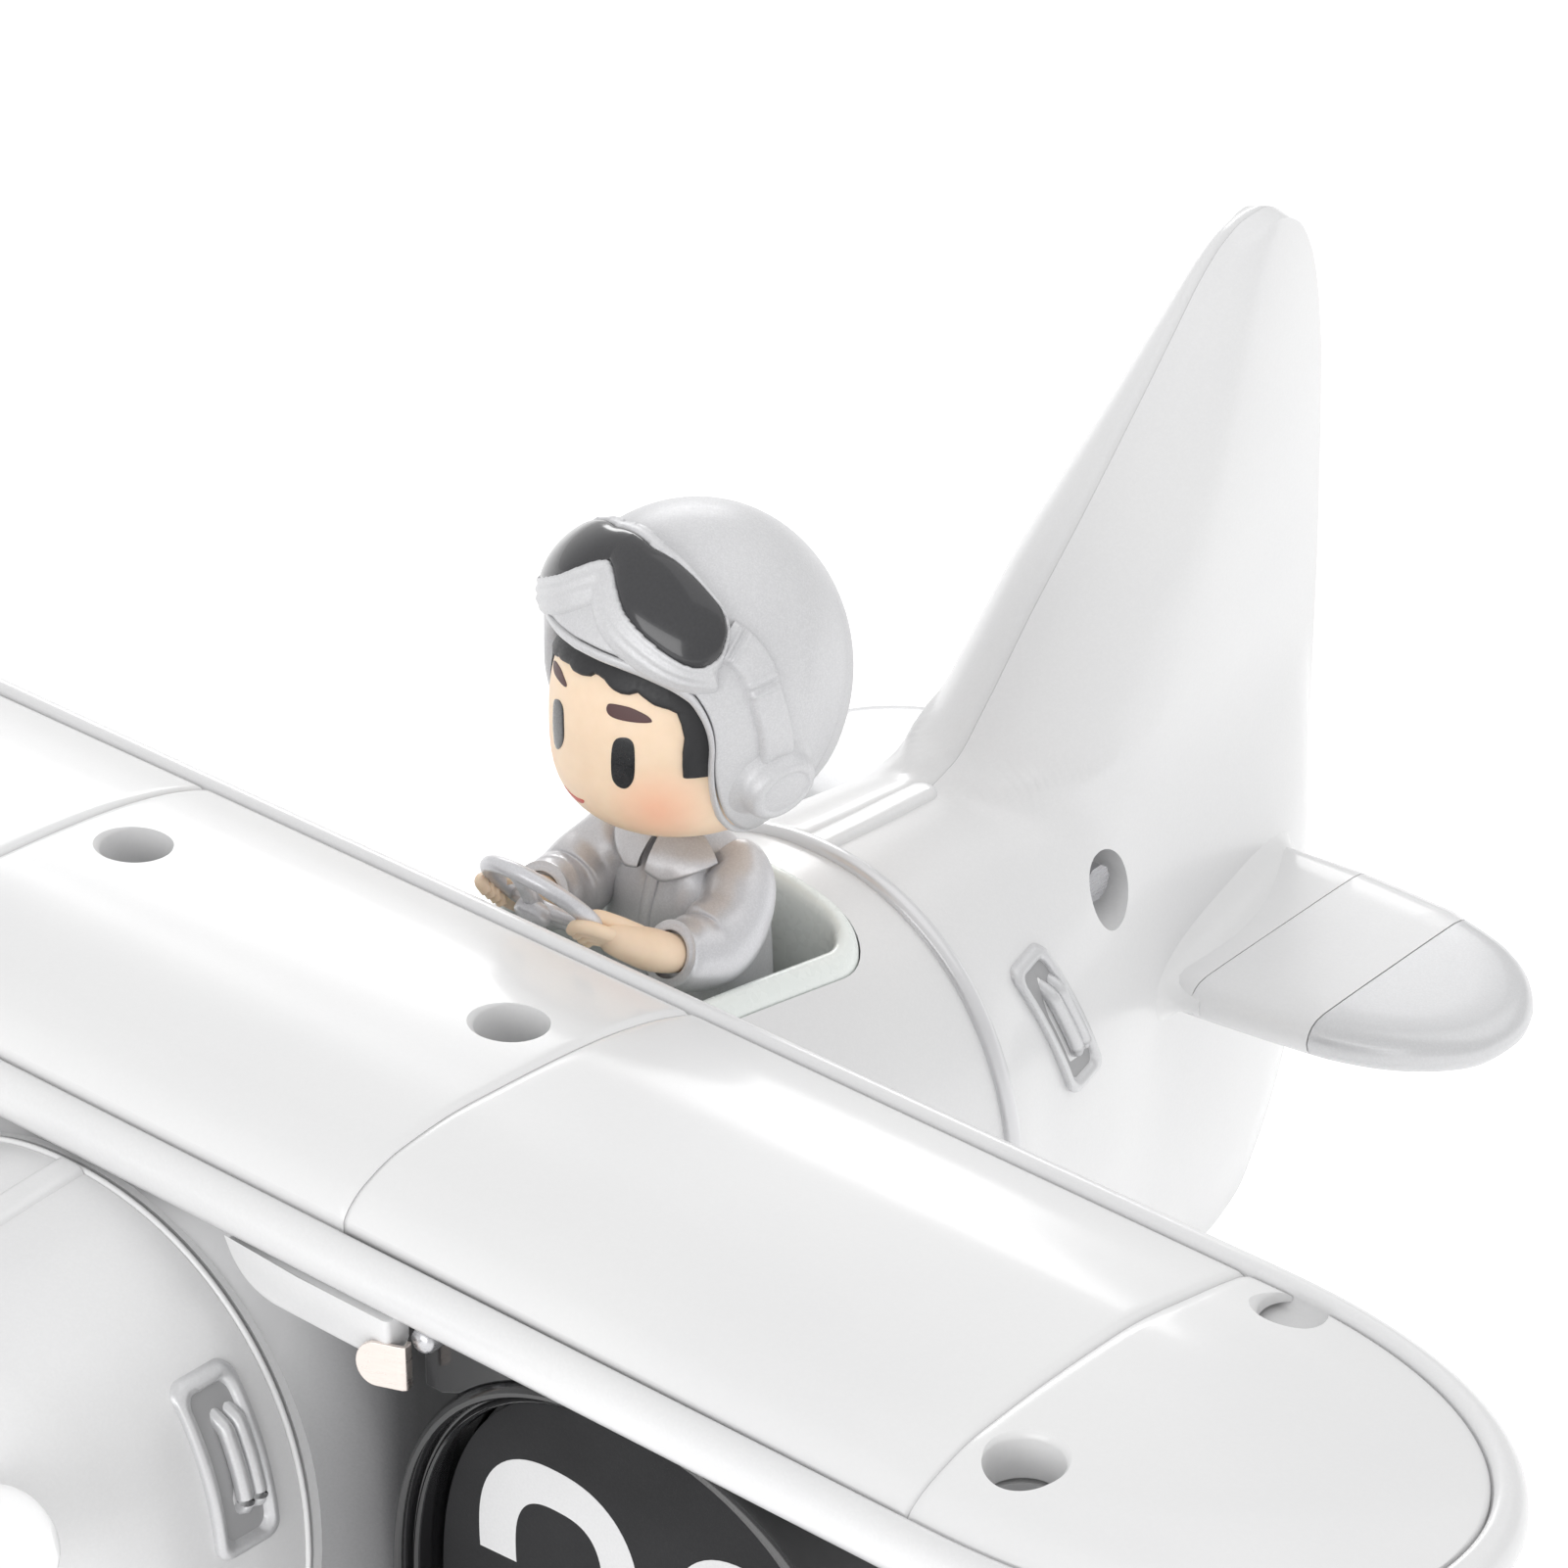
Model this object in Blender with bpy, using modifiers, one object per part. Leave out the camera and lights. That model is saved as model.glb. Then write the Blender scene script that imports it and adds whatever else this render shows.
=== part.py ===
"""Desk flip clock shaped like a toy biplane, with a pilot figurine.
All lengths below are millimetres in the clock's drawing frame: +X to port, +Y to the
tail, +Z up, z = 0 on the edge plane of the upper wing, y = 0 on its trailing edge.
P() turns them into metres with the origin on the table under the clock's middle."""
import math
import bpy
import bmesh
from mathutils import Vector, Matrix

for o in list(bpy.data.objects):
    bpy.data.objects.remove(o)

# ---------------------------------------------------------------- driving dimensions
GROUND = -134.0          # table
YM = 24.2                # middle of the length
GAP = 0.3                # clearance between neighbours
RING_F, RING_R = -61.4, 65.0      # front and rear trim rings
TAIL_END = 166.4
NOSE_END = -100.0
WALL = 2.2
WING_X0, WING_A, WING_Y0, WING_B, WING_N = 118.0, 47.0, -29.7, 32.0, 2.25
WING_Z0 = -6.7
POD_X, POD_Z, POD_W, POD_H, POD_N = 76.75, -46.0, 34.5, 38.9, 2.3
POD_Y0, POD_Y1 = -56.0, -15.0
CARD_Y = -52.6           # plane of the leaf that falls
SPOOL_Y = -36.0
LEAF_W, LEAF_H = 30.6, 35.4
GEAR_Y, AXLE_Z, WHEEL_R = -60.0, -114.0, 20.0
TAILW_Y, TAILW_Z, TAILW_R = 128.0, -126.0, 8.0
PROP_Z, PROP_Y = -38.5, -107.0
KNOB_R = 8.0

parts = bpy.data.collections.new("biplane_flip_clock")
cutters = bpy.data.collections.new("cutters")
bpy.context.scene.collection.children.link(parts)
bpy.context.scene.collection.children.link(cutters)


def P(x, y, z):
    return Vector((x / 1000, (y - YM) / 1000, (z - GROUND) / 1000))


MATS = {}


def mat(name, col, rough=0.3, metal=0.0):
    if name not in MATS:
        m = bpy.data.materials.new(name)
        m.use_nodes = True
        b = m.node_tree.nodes["Principled BSDF"]
        b.inputs["Base Color"].default_value = (*col, 1)
        b.inputs["Roughness"].default_value = rough
        b.inputs["Metallic"].default_value = metal
        MATS[name] = m
    return MATS[name]


PEARL = mat("pearl_white", (0.80, 0.80, 0.80), 0.22)
SILVER = mat("silver_paint", (0.58, 0.59, 0.61), 0.35, 0.5)
BLACK = mat("black_plastic", (0.02, 0.02, 0.022), 0.3)
CARD = mat("card_black", (0.045, 0.045, 0.047), 0.8)
CREAM = mat("cockpit_white", (0.75, 0.79, 0.74), 0.3)
SKIN = mat("skin_plastic", (0.90, 0.66, 0.47), 0.5)
JACKET = mat("jacket_silver", (0.42, 0.42, 0.44), 0.35, 0.5)
LENS = mat("goggle_lens", (0.03, 0.03, 0.033), 0.08)
STEEL = mat("steel", (0.6, 0.6, 0.62), 0.3, 1.0)
NICKEL = mat("nickel", (0.8, 0.73, 0.68), 0.25, 1.0)
RUBBER = mat("rubber", (0.03, 0.03, 0.03), 0.8)
ACETAL = mat("acetal", (0.75, 0.72, 0.65), 0.5)
CELL = mat("cell_wrap", (0.1, 0.2, 0.35), 0.4)


# ---------------------------------------------------------------- building helpers
def put(bm, name, material, origin=(0, 0, 0), cutter=False, tri=False):
    """Finish a bmesh given in drawing millimetres as an object with its origin at origin."""
    o = P(*origin)
    for v in bm.verts:
        v.co = P(*v.co) - o
    bmesh.ops.recalc_face_normals(bm, faces=bm.faces)
    if tri:
        bmesh.ops.triangulate(bm, faces=bm.faces)
    me = bpy.data.meshes.new(name)
    bm.to_mesh(me)
    bm.free()
    ob = bpy.data.objects.new(name, me)
    ob.location = o
    (cutters if cutter else parts).objects.link(ob)
    if cutter:
        ob.hide_render = True
        ob.display_type = "WIRE"
    else:
        me.materials.append(material)
        me.shade_smooth()
        me.set_sharp_from_angle(angle=math.radians(35))
    return ob


def skin(rings, closed_ring=True, loop=False, caps=True):
    """Quads between successive rings of points; ends capped, or joined when loop."""
    bm = bmesh.new()
    vs = [[bm.verts.new(p) for p in r] for r in rings]
    n = len(rings[0])
    m = len(rings)
    for i in range(m if loop else m - 1):
        a, b = vs[i], vs[(i + 1) % m]
        for k in range(n if closed_ring else n - 1):
            j = (k + 1) % n
            bm.faces.new((a[k], a[j], b[j], b[k]))
    if caps and not loop:
        bm.faces.new(vs[0])
        bm.faces.new(vs[-1])
    return bm


def ellipse(a, b, n, power=2.0, start=0.0):
    out = []
    for i in range(n):
        t = start + 2 * math.pi * i / n
        c, s = math.cos(t), math.sin(t)
        out.append((a * math.copysign(abs(c) ** (2 / power), c), b * math.copysign(abs(s) ** (2 / power), s)))
    return out


def cyl(r, length, axis="Z", centre=(0, 0, 0), n=24, r2=None):
    """Closed cylinder or cone along an axis, centred at centre."""
    bm = bmesh.new()
    bmesh.ops.create_cone(bm, cap_ends=True, segments=n, radius1=r, radius2=r if r2 is None else r2, depth=length)
    rot = {"Z": Matrix(), "X": Matrix.Rotation(math.pi / 2, 4, "Y"), "Y": Matrix.Rotation(-math.pi / 2, 4, "X")}[axis]
    bmesh.ops.transform(bm, matrix=Matrix.Translation(Vector(centre)) @ rot, verts=bm.verts)
    return bm


def block(x0, x1, y0, y1, z0, z1):
    bm = bmesh.new()
    bmesh.ops.create_cube(bm, size=1.0)
    for v in bm.verts:
        v.co = Vector(((x0 + x1) / 2 + v.co.x * (x1 - x0), (y0 + y1) / 2 + v.co.y * (y1 - y0), (z0 + z1) / 2 + v.co.z * (z1 - z0)))
    return bm


def ball(rx, ry, rz, centre, u=20, v=12):
    bm = bmesh.new()
    bmesh.ops.create_uvsphere(bm, u_segments=u, v_segments=v, radius=1.0)
    for w in bm.verts:
        w.co = Vector((centre[0] + w.co.x * rx, centre[1] + w.co.y * ry, centre[2] + w.co.z * rz))
    return bm


def turned(profile, axis, centre, n=28):
    """Solid of revolution from (radius, along) points that form a closed outline."""
    rings = []
    for i in range(n):
        t = 2 * math.pi * i / n
        ring = []
        for r, s in profile:
            p = {"X": (s, r * math.cos(t), r * math.sin(t)), "Y": (r * math.cos(t), s, r * math.sin(t)), "Z": (r * math.cos(t), r * math.sin(t), s)}[axis]
            ring.append((centre[0] + p[0], centre[1] + p[1], centre[2] + p[2]))
        rings.append(ring)
    return skin(rings, loop=True)


def boolean(ob, cutter, op="DIFFERENCE"):
    m = ob.modifiers.new("cut", "BOOLEAN")
    m.operation = op
    m.solver = "EXACT"
    m.object = cutter
    return ob


def fuse(ob, piece):
    """Moulds piece into ob: it becomes a guide that is joined by a union."""
    parts.objects.unlink(piece)
    cutters.objects.link(piece)
    piece.hide_render = True
    piece.display_type = "WIRE"
    return boolean(ob, piece, "UNION")


def interp(x, pts):
    """Smooth (cosine-free, piecewise cubic) interpolation through sorted (x, y) pairs."""
    if x <= pts[0][0]:
        return pts[0][1]
    if x >= pts[-1][0]:
        return pts[-1][1]
    for i in range(len(pts) - 1):
        if x <= pts[i + 1][0]:
            break
    x0, y0 = pts[i]
    x1, y1 = pts[i + 1]
    h = x1 - x0
    d = (y1 - y0) / h
    dm = (y0 - pts[i - 1][1]) / (x0 - pts[i - 1][0]) if i > 0 else d
    dp = (pts[i + 2][1] - y1) / (pts[i + 2][0] - x1) if i + 2 < len(pts) else d
    m0 = 0 if dm * d <= 0 else 2 * dm * d / (dm + d)
    m1 = 0 if dp * d <= 0 else 2 * dp * d / (dp + d)
    t = (x - x0) / h
    return y0 * (1 + 2 * t) * (1 - t) ** 2 + m0 * h * t * (1 - t) ** 2 + y1 * t * t * (3 - 2 * t) + m1 * h * t * t * (t - 1)


# ---------------------------------------------------------------- fuselage sections
HALF_W = [(-100, 12), (-97.5, 20), (-93, 26.5), (-86, 30.8), (-76, 33), (-61.4, 33.8), (0, 33.4), (65, 32.4), (76, 29.5), (95, 25), (112, 19.5), (135, 14.5), (149, 11), (158, 8), (163, 5), (166.4, 1.6)]
TOP = [(-100, -26.5), (-97.5, -18.5), (-93, -12.2), (-86, -8.6), (-76, -7.3), (-61.4, -6.9), (-30, -9), (0, -13.5), (30, -18.5), (55, -23), (65, -24.2), (76, -25.3), (88, -26.3), (110, -29), (166.4, -33)]
BELLY = [(-100, -50.5), (-97.5, -58.5), (-93, -64.8), (-86, -69.5), (-76, -73.5), (-61.4, -75.8), (0, -87.2), (65, -99.2), (90, -106), (111, -111.5), (130, -116), (140, -118), (148, -117), (155, -112), (161, -105), (165, -97), (166.4, -90)]
SPINE = [(88, -26.2), (93, -24.4), (98, -19.8), (108, -9.2), (117.5, 0.0), (126.5, 9.2), (135.4, 18.6), (141.7, 25.2), (146, 28.3), (150, 29.8), (154, 30), (158.5, 28), (162.5, 22.5), (165.2, 14), (166.4, 6)]
FIN_LE = [(-40, 78.0), (-26.2, 88), (-24.4, 93), (-19.8, 98), (-9.2, 108), (0.0, 117.5), (9.2, 126.5), (18.6, 135.4), (25.2, 141.7), (28.3, 146), (30, 152)]
FIN_W = [(-60, 13.5), (-30, 14.5), (-9.5, 12.5), (0, 10.6), (8, 8.6), (18, 6.2), (25.5, 4.2), (30, 2.6)]


def section(y):
    a, t, b = interp(y, HALF_W), interp(y, TOP), interp(y, BELLY)
    return a, (t + b) / 2, (t - b) / 2


def body_x(y, z, grow=0.0):
    a, c, b = section(y)
    a, b = a + grow, b + grow
    u = abs((z - c) / b)
    return a * (1 - u ** 2.15) ** (1 / 2.15) if u < 1 else 0.0


def fin_x(y, z):
    le = interp(z, FIN_LE)
    w = interp(z, FIN_W)
    chord = TAIL_END - le
    t = (y - le) / chord
    if t <= 0 or t >= 1.001 or z > 30:
        return 0.0
    t = min(t, 1.0)
    lead = min(1.0, t / 0.30)
    nose = math.sqrt(max(0.0, 1 - (1 - lead) ** 2)) ** 1.15
    rear = 1.0 if t < 0.30 else 1 - 0.84 * ((t - 0.30) / 0.70) ** 1.35
    return w * nose * rear


def tail_x(y, z):
    """Half thickness of the tail: body and fin blended with a soft hollow between."""
    k = 5.0
    a, b = body_x(y, z), fin_x(y, z)
    if a <= 0 or b <= 0:
        return max(a, b)
    return (a ** k + b ** k) ** (1 / k)


def spine_z(y):
    return max(interp(y, TOP), interp(y, SPINE)) if y > 88 else interp(y, TOP)


# nose cowl: closed double-walled shell, open behind and at the propeller shaft
def nose_ring(y, grow):
    a, c, b = section(y)
    return [(p[0], y, c + p[1]) for p in ellipse(a + grow, b + grow, 24, 2.15)]


ys = [RING_F - 0.3, -68, -76, -82, -88, -93, -97.5, NOSE_END]
rings = [nose_ring(y, 0) for y in ys]
rings += [[(p[0], NOSE_END, PROP_Z + p[1]) for p in ellipse(6, 6, 24)], [(p[0], NOSE_END + 2.2, PROP_Z + p[1]) for p in ellipse(6, 6, 24)]]
rings += [nose_ring(y, -WALL) for y in [-96, -92, -86, -78, RING_F - 0.3]]
nose_cowl = put(skin(rings, loop=True), "nose_cowl", PEARL)


def trim_ring(name, y, half, proud, material):
    prof = [(-half, -0.9), (-half * 0.9, 0.5 * proud), (0, proud), (half * 0.9, 0.5 * proud), (half, -0.9)]
    rings = []
    for i in range(24):
        ring = []
        for s, g in prof:
            a, c, b = section(y + s)
            p = ellipse(a + g, b + g, 24, 2.15)[i]
            ring.append((p[0], y + s, c + p[1]))
        rings.append(ring)
    return put(skin(rings, loop=True), name, material)


# barrel: left and right shells, from ring to ring, seated inside the ring beads
def barrel_half(name, side, y0, y1, wall, n=13, rings_n=6):
    rings = []
    for i in range(rings_n):
        y = y0 + (y1 - y0) * i / (rings_n - 1)
        a, c, b = section(y)
        out, inn = [], []
        for k in range(n):
            t = -math.pi / 2 + math.pi * k / (n - 1)
            ct, st = max(math.cos(t), 0.0), math.sin(t)
            ex = 2 / 2.15
            out.append((side * max(a * ct ** ex, 0.15), y, c + b * math.copysign(abs(st) ** ex, st)))
            inn.append((side * max((a - wall) * ct ** ex, 0.15), y, c + (b - wall) * math.copysign(abs(st) ** ex, st)))
        rings.append(out + inn[::-1])
    return put(skin(rings), name, PEARL)


BAR0, BAR1 = RING_F + 1.9, RING_R - 1.9
front_trim_ring = trim_ring("front_trim_ring", RING_F + 0.8, 0.75, 1.1, SILVER)
rear_trim_ring = trim_ring("rear_trim_ring", RING_R, 1.5, 1.3, SILVER)
left_shell = barrel_half("fuselage_left_shell", 1, BAR0, BAR1, WALL)
right_shell = barrel_half("fuselage_right_shell", -1, BAR0, BAR1, WALL)


# tail: two half solids hollowed from inside, meeting on the plane x = 0
def tail_half(name, side, n=14):
    ys = [RING_R + 1.8, 77, 88, 94, 101, 109, 118, 127, 136, 143, 149, 154, 159, 163, TAIL_END]
    rings = []
    for y in ys:
        zb, zt = interp(y, BELLY), spine_z(y)
        ring = []
        for k in range(n):
            s = k / (n - 1)
            u = 0.5 - 0.5 * math.cos(math.pi * s)
            z = zb + (zt - zb) * (0.4 * s + 0.6 * u)
            h = tail_x(y, z) if 0 < k < n - 1 else 0
            ring.append((side * max(h, 0.5), y, z))
        ring += [(side * 0.15, y, zt), (side * 0.15, y, zb)]
        rings.append(ring)
    ob = put(skin(rings), name, PEARL, tri=True)
    cav = []
    for y in [RING_R - 2, 80, 95, 110, 122, 134]:
        a, c, b = section(y)
        g = 3.0
        cav.append([(p[0], y, c - 1 + p[1]) for p in ellipse(a - g, b - g - 1, 14, 2.15)])
    cut = put(skin(cav), name + "_cavity", None, cutter=True, tri=True)
    return boolean(ob, cut)


tail_left = tail_half("tail_left_shell", 1)
tail_right = tail_half("tail_right_shell", -1)
bore = put(cyl(4.7, 40, "X", (34, 101.5, -40.5), 16), "tail_screw_bore", None, cutter=True)
boolean(tail_left, bore)
tail_screw = put(turned([(0.01, 16.2), (2.6, 16.2), (2.6, 14.4), (1.4, 14.2), (1.4, 7), (0.01, 7)], "X", (0, 101.5, -40.5), 10), "tail_screw", STEEL)
boss_cut = put(cyl(1.75, 12, "X", (11.5, 101.5, -40.5), 10), "tail_screw_pilot", None, cutter=True)
boolean(tail_left, boss_cut)


# spine strips on the top seam
def strip(name, y0, y1, half, top, under=0.35):
    rings = []
    for i in range(9):
        s = i / 8
        y = y0 + (y1 - y0) * s
        w = half
        if s > 0.87:
            w = half * 0.75
        if s == 1:
            w = half * 0.3
        z = interp(y, TOP)
        rings.append([(-w, y, z + under), (w, y, z + under), (w * 0.85, y, z + top), (-w * 0.85, y, z + top)])
    return put(skin(rings), name, PEARL)


fuse(rear_trim_ring, strip("tail_spine_strip", RING_R + 0.6, 88.0, 2.3, 1.1, 0.3))
fuse(front_trim_ring, strip("nose_spine_strip", RING_F + 0.9, -90.0, 2.3, 1.1, 0.3))


# vents on the cowl and tail flanks
def vent(name, y, z0, z1, half, side, fn, yslope=0.0):
    rings = []
    m = 7
    for i in range(m):
        s = i / (m - 1)
        z = z0 + (z1 - z0) * s
        hw = half * (0.7 if i in (0, m - 1) else 1.0)
        ring = []
        for dy, g in ((-hw, 0.35), (hw, 0.35), (hw * 0.85, 1.5), (-hw * 0.85, 1.5)):
            yy = y + dy + yslope * (s - 0.5)
            ring.append((side * (fn(yy, z) + g), yy, z))
        rings.append(ring)
    return put(skin(rings), name, SILVER)


for side, tag in ((1, "left"), (-1, "right")):
    vent("rear_vent_" + tag, 82.4, -57.8, -37.8, 4.4, side, tail_x, -7.5)
    vent("nose_vent_" + tag, -69.6, -37.5, -18.0, 4.4, side, body_x, 0.8)


# stabilisers
def stab_outline():
    """Port half outline: trailing edge out, round the tip, leading edge back."""
    return [(8, 150.0), (24, 151.8), (38, 151.6), (48.7, 148.4), (55.3, 143.6), (59.2, 137.5), (60.0, 131.5), (58.3, 125.6), (52.2, 119.6), (44, 115.8), (34, 113.8), (22, 112.4), (8, 112.0)]


def stab(name, side, x0, x1, material):
    z0, th = -61.2, 2.8
    rings = []
    for inset, dz in ((2.6, -1.0), (0.7, -0.62), (0.0, 0.0), (0.7, 0.62), (2.6, 1.0)):
        ring = []
        for x, y in stab_outline():
            cx, cy = 30, 131.5
            d = math.hypot(x - cx, y - cy)
            k = (d - inset) / d
            ring.append((side * (cx + (x - cx) * k), cy + (y - cy) * k, z0 + th * dz))
        rings.append(ring)
    ob = put(skin(rings), name, material)
    cut = put(block(min(side * x0, side * x1), max(side * x0, side * x1), 90, 160, -80, -50), name + "_bounds", None, cutter=True)
    return boolean(ob, cut, "INTERSECT")


def grown_tail(name, side, grow=0.3):
    rings = []
    for y in [100, 104, 110, 117, 124, 131, 138, 144, 149, 154, 158]:
        ring = []
        for k in range(12):
            z = -50 - 28 * k / 11
            ring.append((side * (tail_x(y, z) + grow), y, z))
        ring += [(-side * 5, y, -78), (-side * 5, y, -50)]
        rings.append(ring)
    return put(skin(rings), name, None, cutter=True)


for side, tag in ((1, "left"), (-1, "right")):
    s = stab(tag + "_stabiliser", side, 5, 40.2, PEARL)
    boolean(s, grown_tail(tag + "_tail_envelope", side))
    stab(tag + "_stabiliser_tip", side, 40.5, 70, SILVER)


# ---------------------------------------------------------------- cockpit
def rounded(cx, cy, hx, hy, r, n=5):
    out = []
    for qx, qy, a0 in ((1, 1, 0), (-1, 1, 90), (-1, -1, 180), (1, -1, 270)):
        for k in range(n):
            t = math.radians(a0 + 90 * k / (n - 1))
            out.append((cx + qx * (hx - r) + r * math.cos(t), cy + qy * (hy - r) + r * math.sin(t)))
    return out


def top_at(x, y):
    a, c, b = section(y)
    return c + b * (1 - min(abs(x) / a, 0.999) ** 2.15) ** (1 / 2.15)


COCK = (0.0, 31.5, 18.8, 24.8, 8.0)


def cock_ring(inset, lift, floor=None):
    cx, cy, hx, hy, r = COCK
    pts = rounded(cx, cy, hx - inset, hy - inset, max(r - inset, 1.5))
    return [(x, y, (top_at(x, y) + lift) if floor is None else floor) for x, y in pts]


rings = [cock_ring(4.4, 0, -44.0), cock_ring(2.9, -1.0), cock_ring(2.4, 1.0), cock_ring(0.9, 1.3), cock_ring(0.0, 0.3), cock_ring(0.0, -3.5), cock_ring(2.0, 0, -46.0)]
cockpit_tub = put(skin(rings), "cockpit_tub", CREAM)
open_cut = put(skin([[(x, y, -60) for x, y in rounded(0, 31.5, 19.1, 25.1, 8.3)], [(x, y, 10) for x, y in rounded(0, 31.5, 19.1, 25.1, 8.3)]]), "cockpit_opening", None, cutter=True)
boolean(left_shell, open_cut)
boolean(right_shell, open_cut)

# pilot figurine
torso = [(7.5, 7.5, -43.5), (10.8, 9.0, -40), (11.2, 9.3, -34), (10.6, 9.0, -26), (9.6, 8.0, -19), (7.5, 6.3, -14.5), (4.6, 4.4, -11.0)]
rings = [[(p[0], 41.5 + p[1], z) for p in ellipse(a, b, 16)] for a, b, z in torso]
pilot_body = put(skin(rings), "pilot_body", JACKET)


def limb(name, pts, radii, material, n=10):
    rings = []
    for i, p in enumerate(pts):
        a = Vector(pts[max(i - 1, 0)])
        b = Vector(pts[min(i + 1, len(pts) - 1)])
        d = (b - a).normalized()
        u = d.cross(Vector((0, 0, 1))).normalized()
        w = u.cross(d)
        rings.append([Vector(p) + (u * math.cos(2 * math.pi * k / n) + w * math.sin(2 * math.pi * k / n)) * radii[i] for k in range(n)])
    return put(skin(rings), name, material)


for side, tag in ((1, "left"), (-1, "right")):
    arm = limb("pilot_%s_arm" % tag, [(side * 6.5, 41.0, -17.0), (side * 9.6, 39.5, -18.0), (side * 11.2, 36.0, -19.6), (side * 11.6, 31.5, -20.0), (side * 10.8, 27, -17.8)], [2.6, 3.3, 3.5, 3.6, 3.6], JACKET)
    fuse(pilot_body, arm)
    hand = limb("pilot_%s_hand" % tag, [(side * 11.0, 28.3, -18.5), (side * 10.8, 26.3, -17.5), (side * 10.8, 24.0, -16.6), (side * 9.6, 21.4, -14.6)], [2.2, 2.4, 2.4, 1.7], SKIN)
    fuse(pilot_body, hand)

HEAD = (0, 42.3, 10.1)
head = put(ball(15.8, 16.0, 17.4, (HEAD[0], HEAD[1] - 1.9, HEAD[2] - 2.4), 16, 10), "pilot_head", SKIN)
helmet = put(ball(18.7, 20.4, 22.3, HEAD, 18, 12), "pilot_helmet", JACKET)
boolean(helmet, put(ball(16.7, 17.2, 18.6, (HEAD[0], HEAD[1] - 1.6, HEAD[2] - 2.0), 16, 10), "helmet_inside", None, cutter=True))
boolean(helmet, put(block(-13.6, 13.6, 10, 38, -20, 12.5), "helmet_face_opening", None, cutter=True))
boolean(helmet, put(block(-30, 30, 10, 70, -20, -7.5), "helmet_neck_opening", None, cutter=True))

# steering wheel on its column
SW = (0, 15.5, -8.5)
rings = []
for i in range(20):
    t = 2 * math.pi * i / 20
    d = Vector((math.cos(t), math.sin(t) * 0.62, -math.sin(t) * 0.78))
    nrm = Vector((0, 0.78, 0.62))
    c = Vector(SW) + d * 7.6
    rings.append([c + (d * math.cos(q) + nrm * math.sin(q)) * 0.85 for q in [2 * math.pi * k / 6 for k in range(6)]])
wheel = put(skin(rings, loop=True), "steering_wheel", JACKET)
spokes = put(block(-7.6, 7.6, SW[1] - 0.9, SW[1] + 0.9, SW[2] - 0.5, SW[2] + 0.5), "steering_spokes", None, cutter=True)
spokes.rotation_euler = (0, 0, 0)
boolean(wheel, spokes, "UNION")
boolean(wheel, put(cyl(2.2, 1.6, "Z", SW, 14), "steering_hub", None, cutter=True), "UNION")
fuse(wheel, limb("steering_column", [(0, 15.5, -8.6), (0, 14.0, -22), (0, 12.4, -40)], [0.9, 1.1, 1.4], JACKET, 8))


# ---------------------------------------------------------------- upper wing
def wing_outline(inset, nt=9):
    pts = []
    for side in (1, -1):
        for k in range(nt):
            t = -math.pi / 2 + math.pi * k / (nt - 1)
            if side < 0:
                t += math.pi
            c, s = math.cos(t), math.sin(t)
            ex = 2 / WING_N
            pts.append((side * WING_X0 + (WING_A - inset) * math.copysign(abs(c) ** ex, c) if nt else 0, WING_Y0 + (WING_B - inset) * math.copysign(abs(s) ** ex, s)))
        ye = WING_Y0 + side * (WING_B - inset)
        for x in (60, 0, -60):
            pts.append((side * x, ye))
    return pts


CROWN_C = [(-58.5, 0.0), (-57.6, 1.7), (-54.4, 4.1), (-49, 5.7), (-41, 6.2), (-33, 5.7), (-25, 5.0), (-17, 4.0), (-8.6, 2.2), (-0.5, -0.6)]
CROWN_T = [(-58.5, -0.3), (-54.2, 2.0), (-46.4, 3.8), (-36.6, 4.1), (-23.5, 3.7), (-9.7, 1.3), (-0.5, -0.9)]


def crown(x, y):
    ax = abs(x)
    m = min(max((ax - 38) / 78.0, 0), 1)
    z = interp(y, CROWN_C) * (1 - m) + interp(y, CROWN_T) * m
    if ax > WING_X0 - 8:
        # inside the round tip the crown follows the distance to the edge
        u = min(max((ax - WING_X0) / (WING_A - 3.6), 0), 1)
        yy = WING_Y0 + (y - WING_Y0) / max((1 - u ** WING_N) ** (1 / WING_N), 0.08)
        z = interp(min(max(yy, -58.4), -1.0), CROWN_T) * (1 - 0.35 * u)
        z = z * (1 - u ** 3) + 0 * u
    return z


def wing_ring(inset, z=None):
    return [(x, y, crown(x, y) if z is None else z) for x, y in wing_outline(inset)]


upper_wing_bottom = put(skin([wing_ring(4.0, -1.9), wing_ring(3.6, -0.7), wing_ring(2.2, -0.3), wing_ring(0.8, -1.4), wing_ring(0, -3.35), wing_ring(0.9, -5.5), wing_ring(3.4, WING_Z0)]), "upper_wing_bottom", PEARL)
upper_wing_top = put(skin([wing_ring(4.3, -1.6), wing_ring(4.0, -0.4), wing_ring(5.2), wing_ring(9.5), wing_ring(16), wing_ring(24), wing_ring(29)]), "upper_wing_top", PEARL)
for x0, x1 in ((-23, 23), (36, 112), (-112, -36)):
    c = put(block(x0, x1, -51, -14, -4.6, 1.2), "wing_pocket_%d" % x0, None, cutter=True)
    boolean(upper_wing_bottom, c)
    boolean(upper_wing_top, c)
WING_SCREWS = [(29.2, -21.5), (122, -47.3), (123.9, -6.4)]
k = 0
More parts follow.
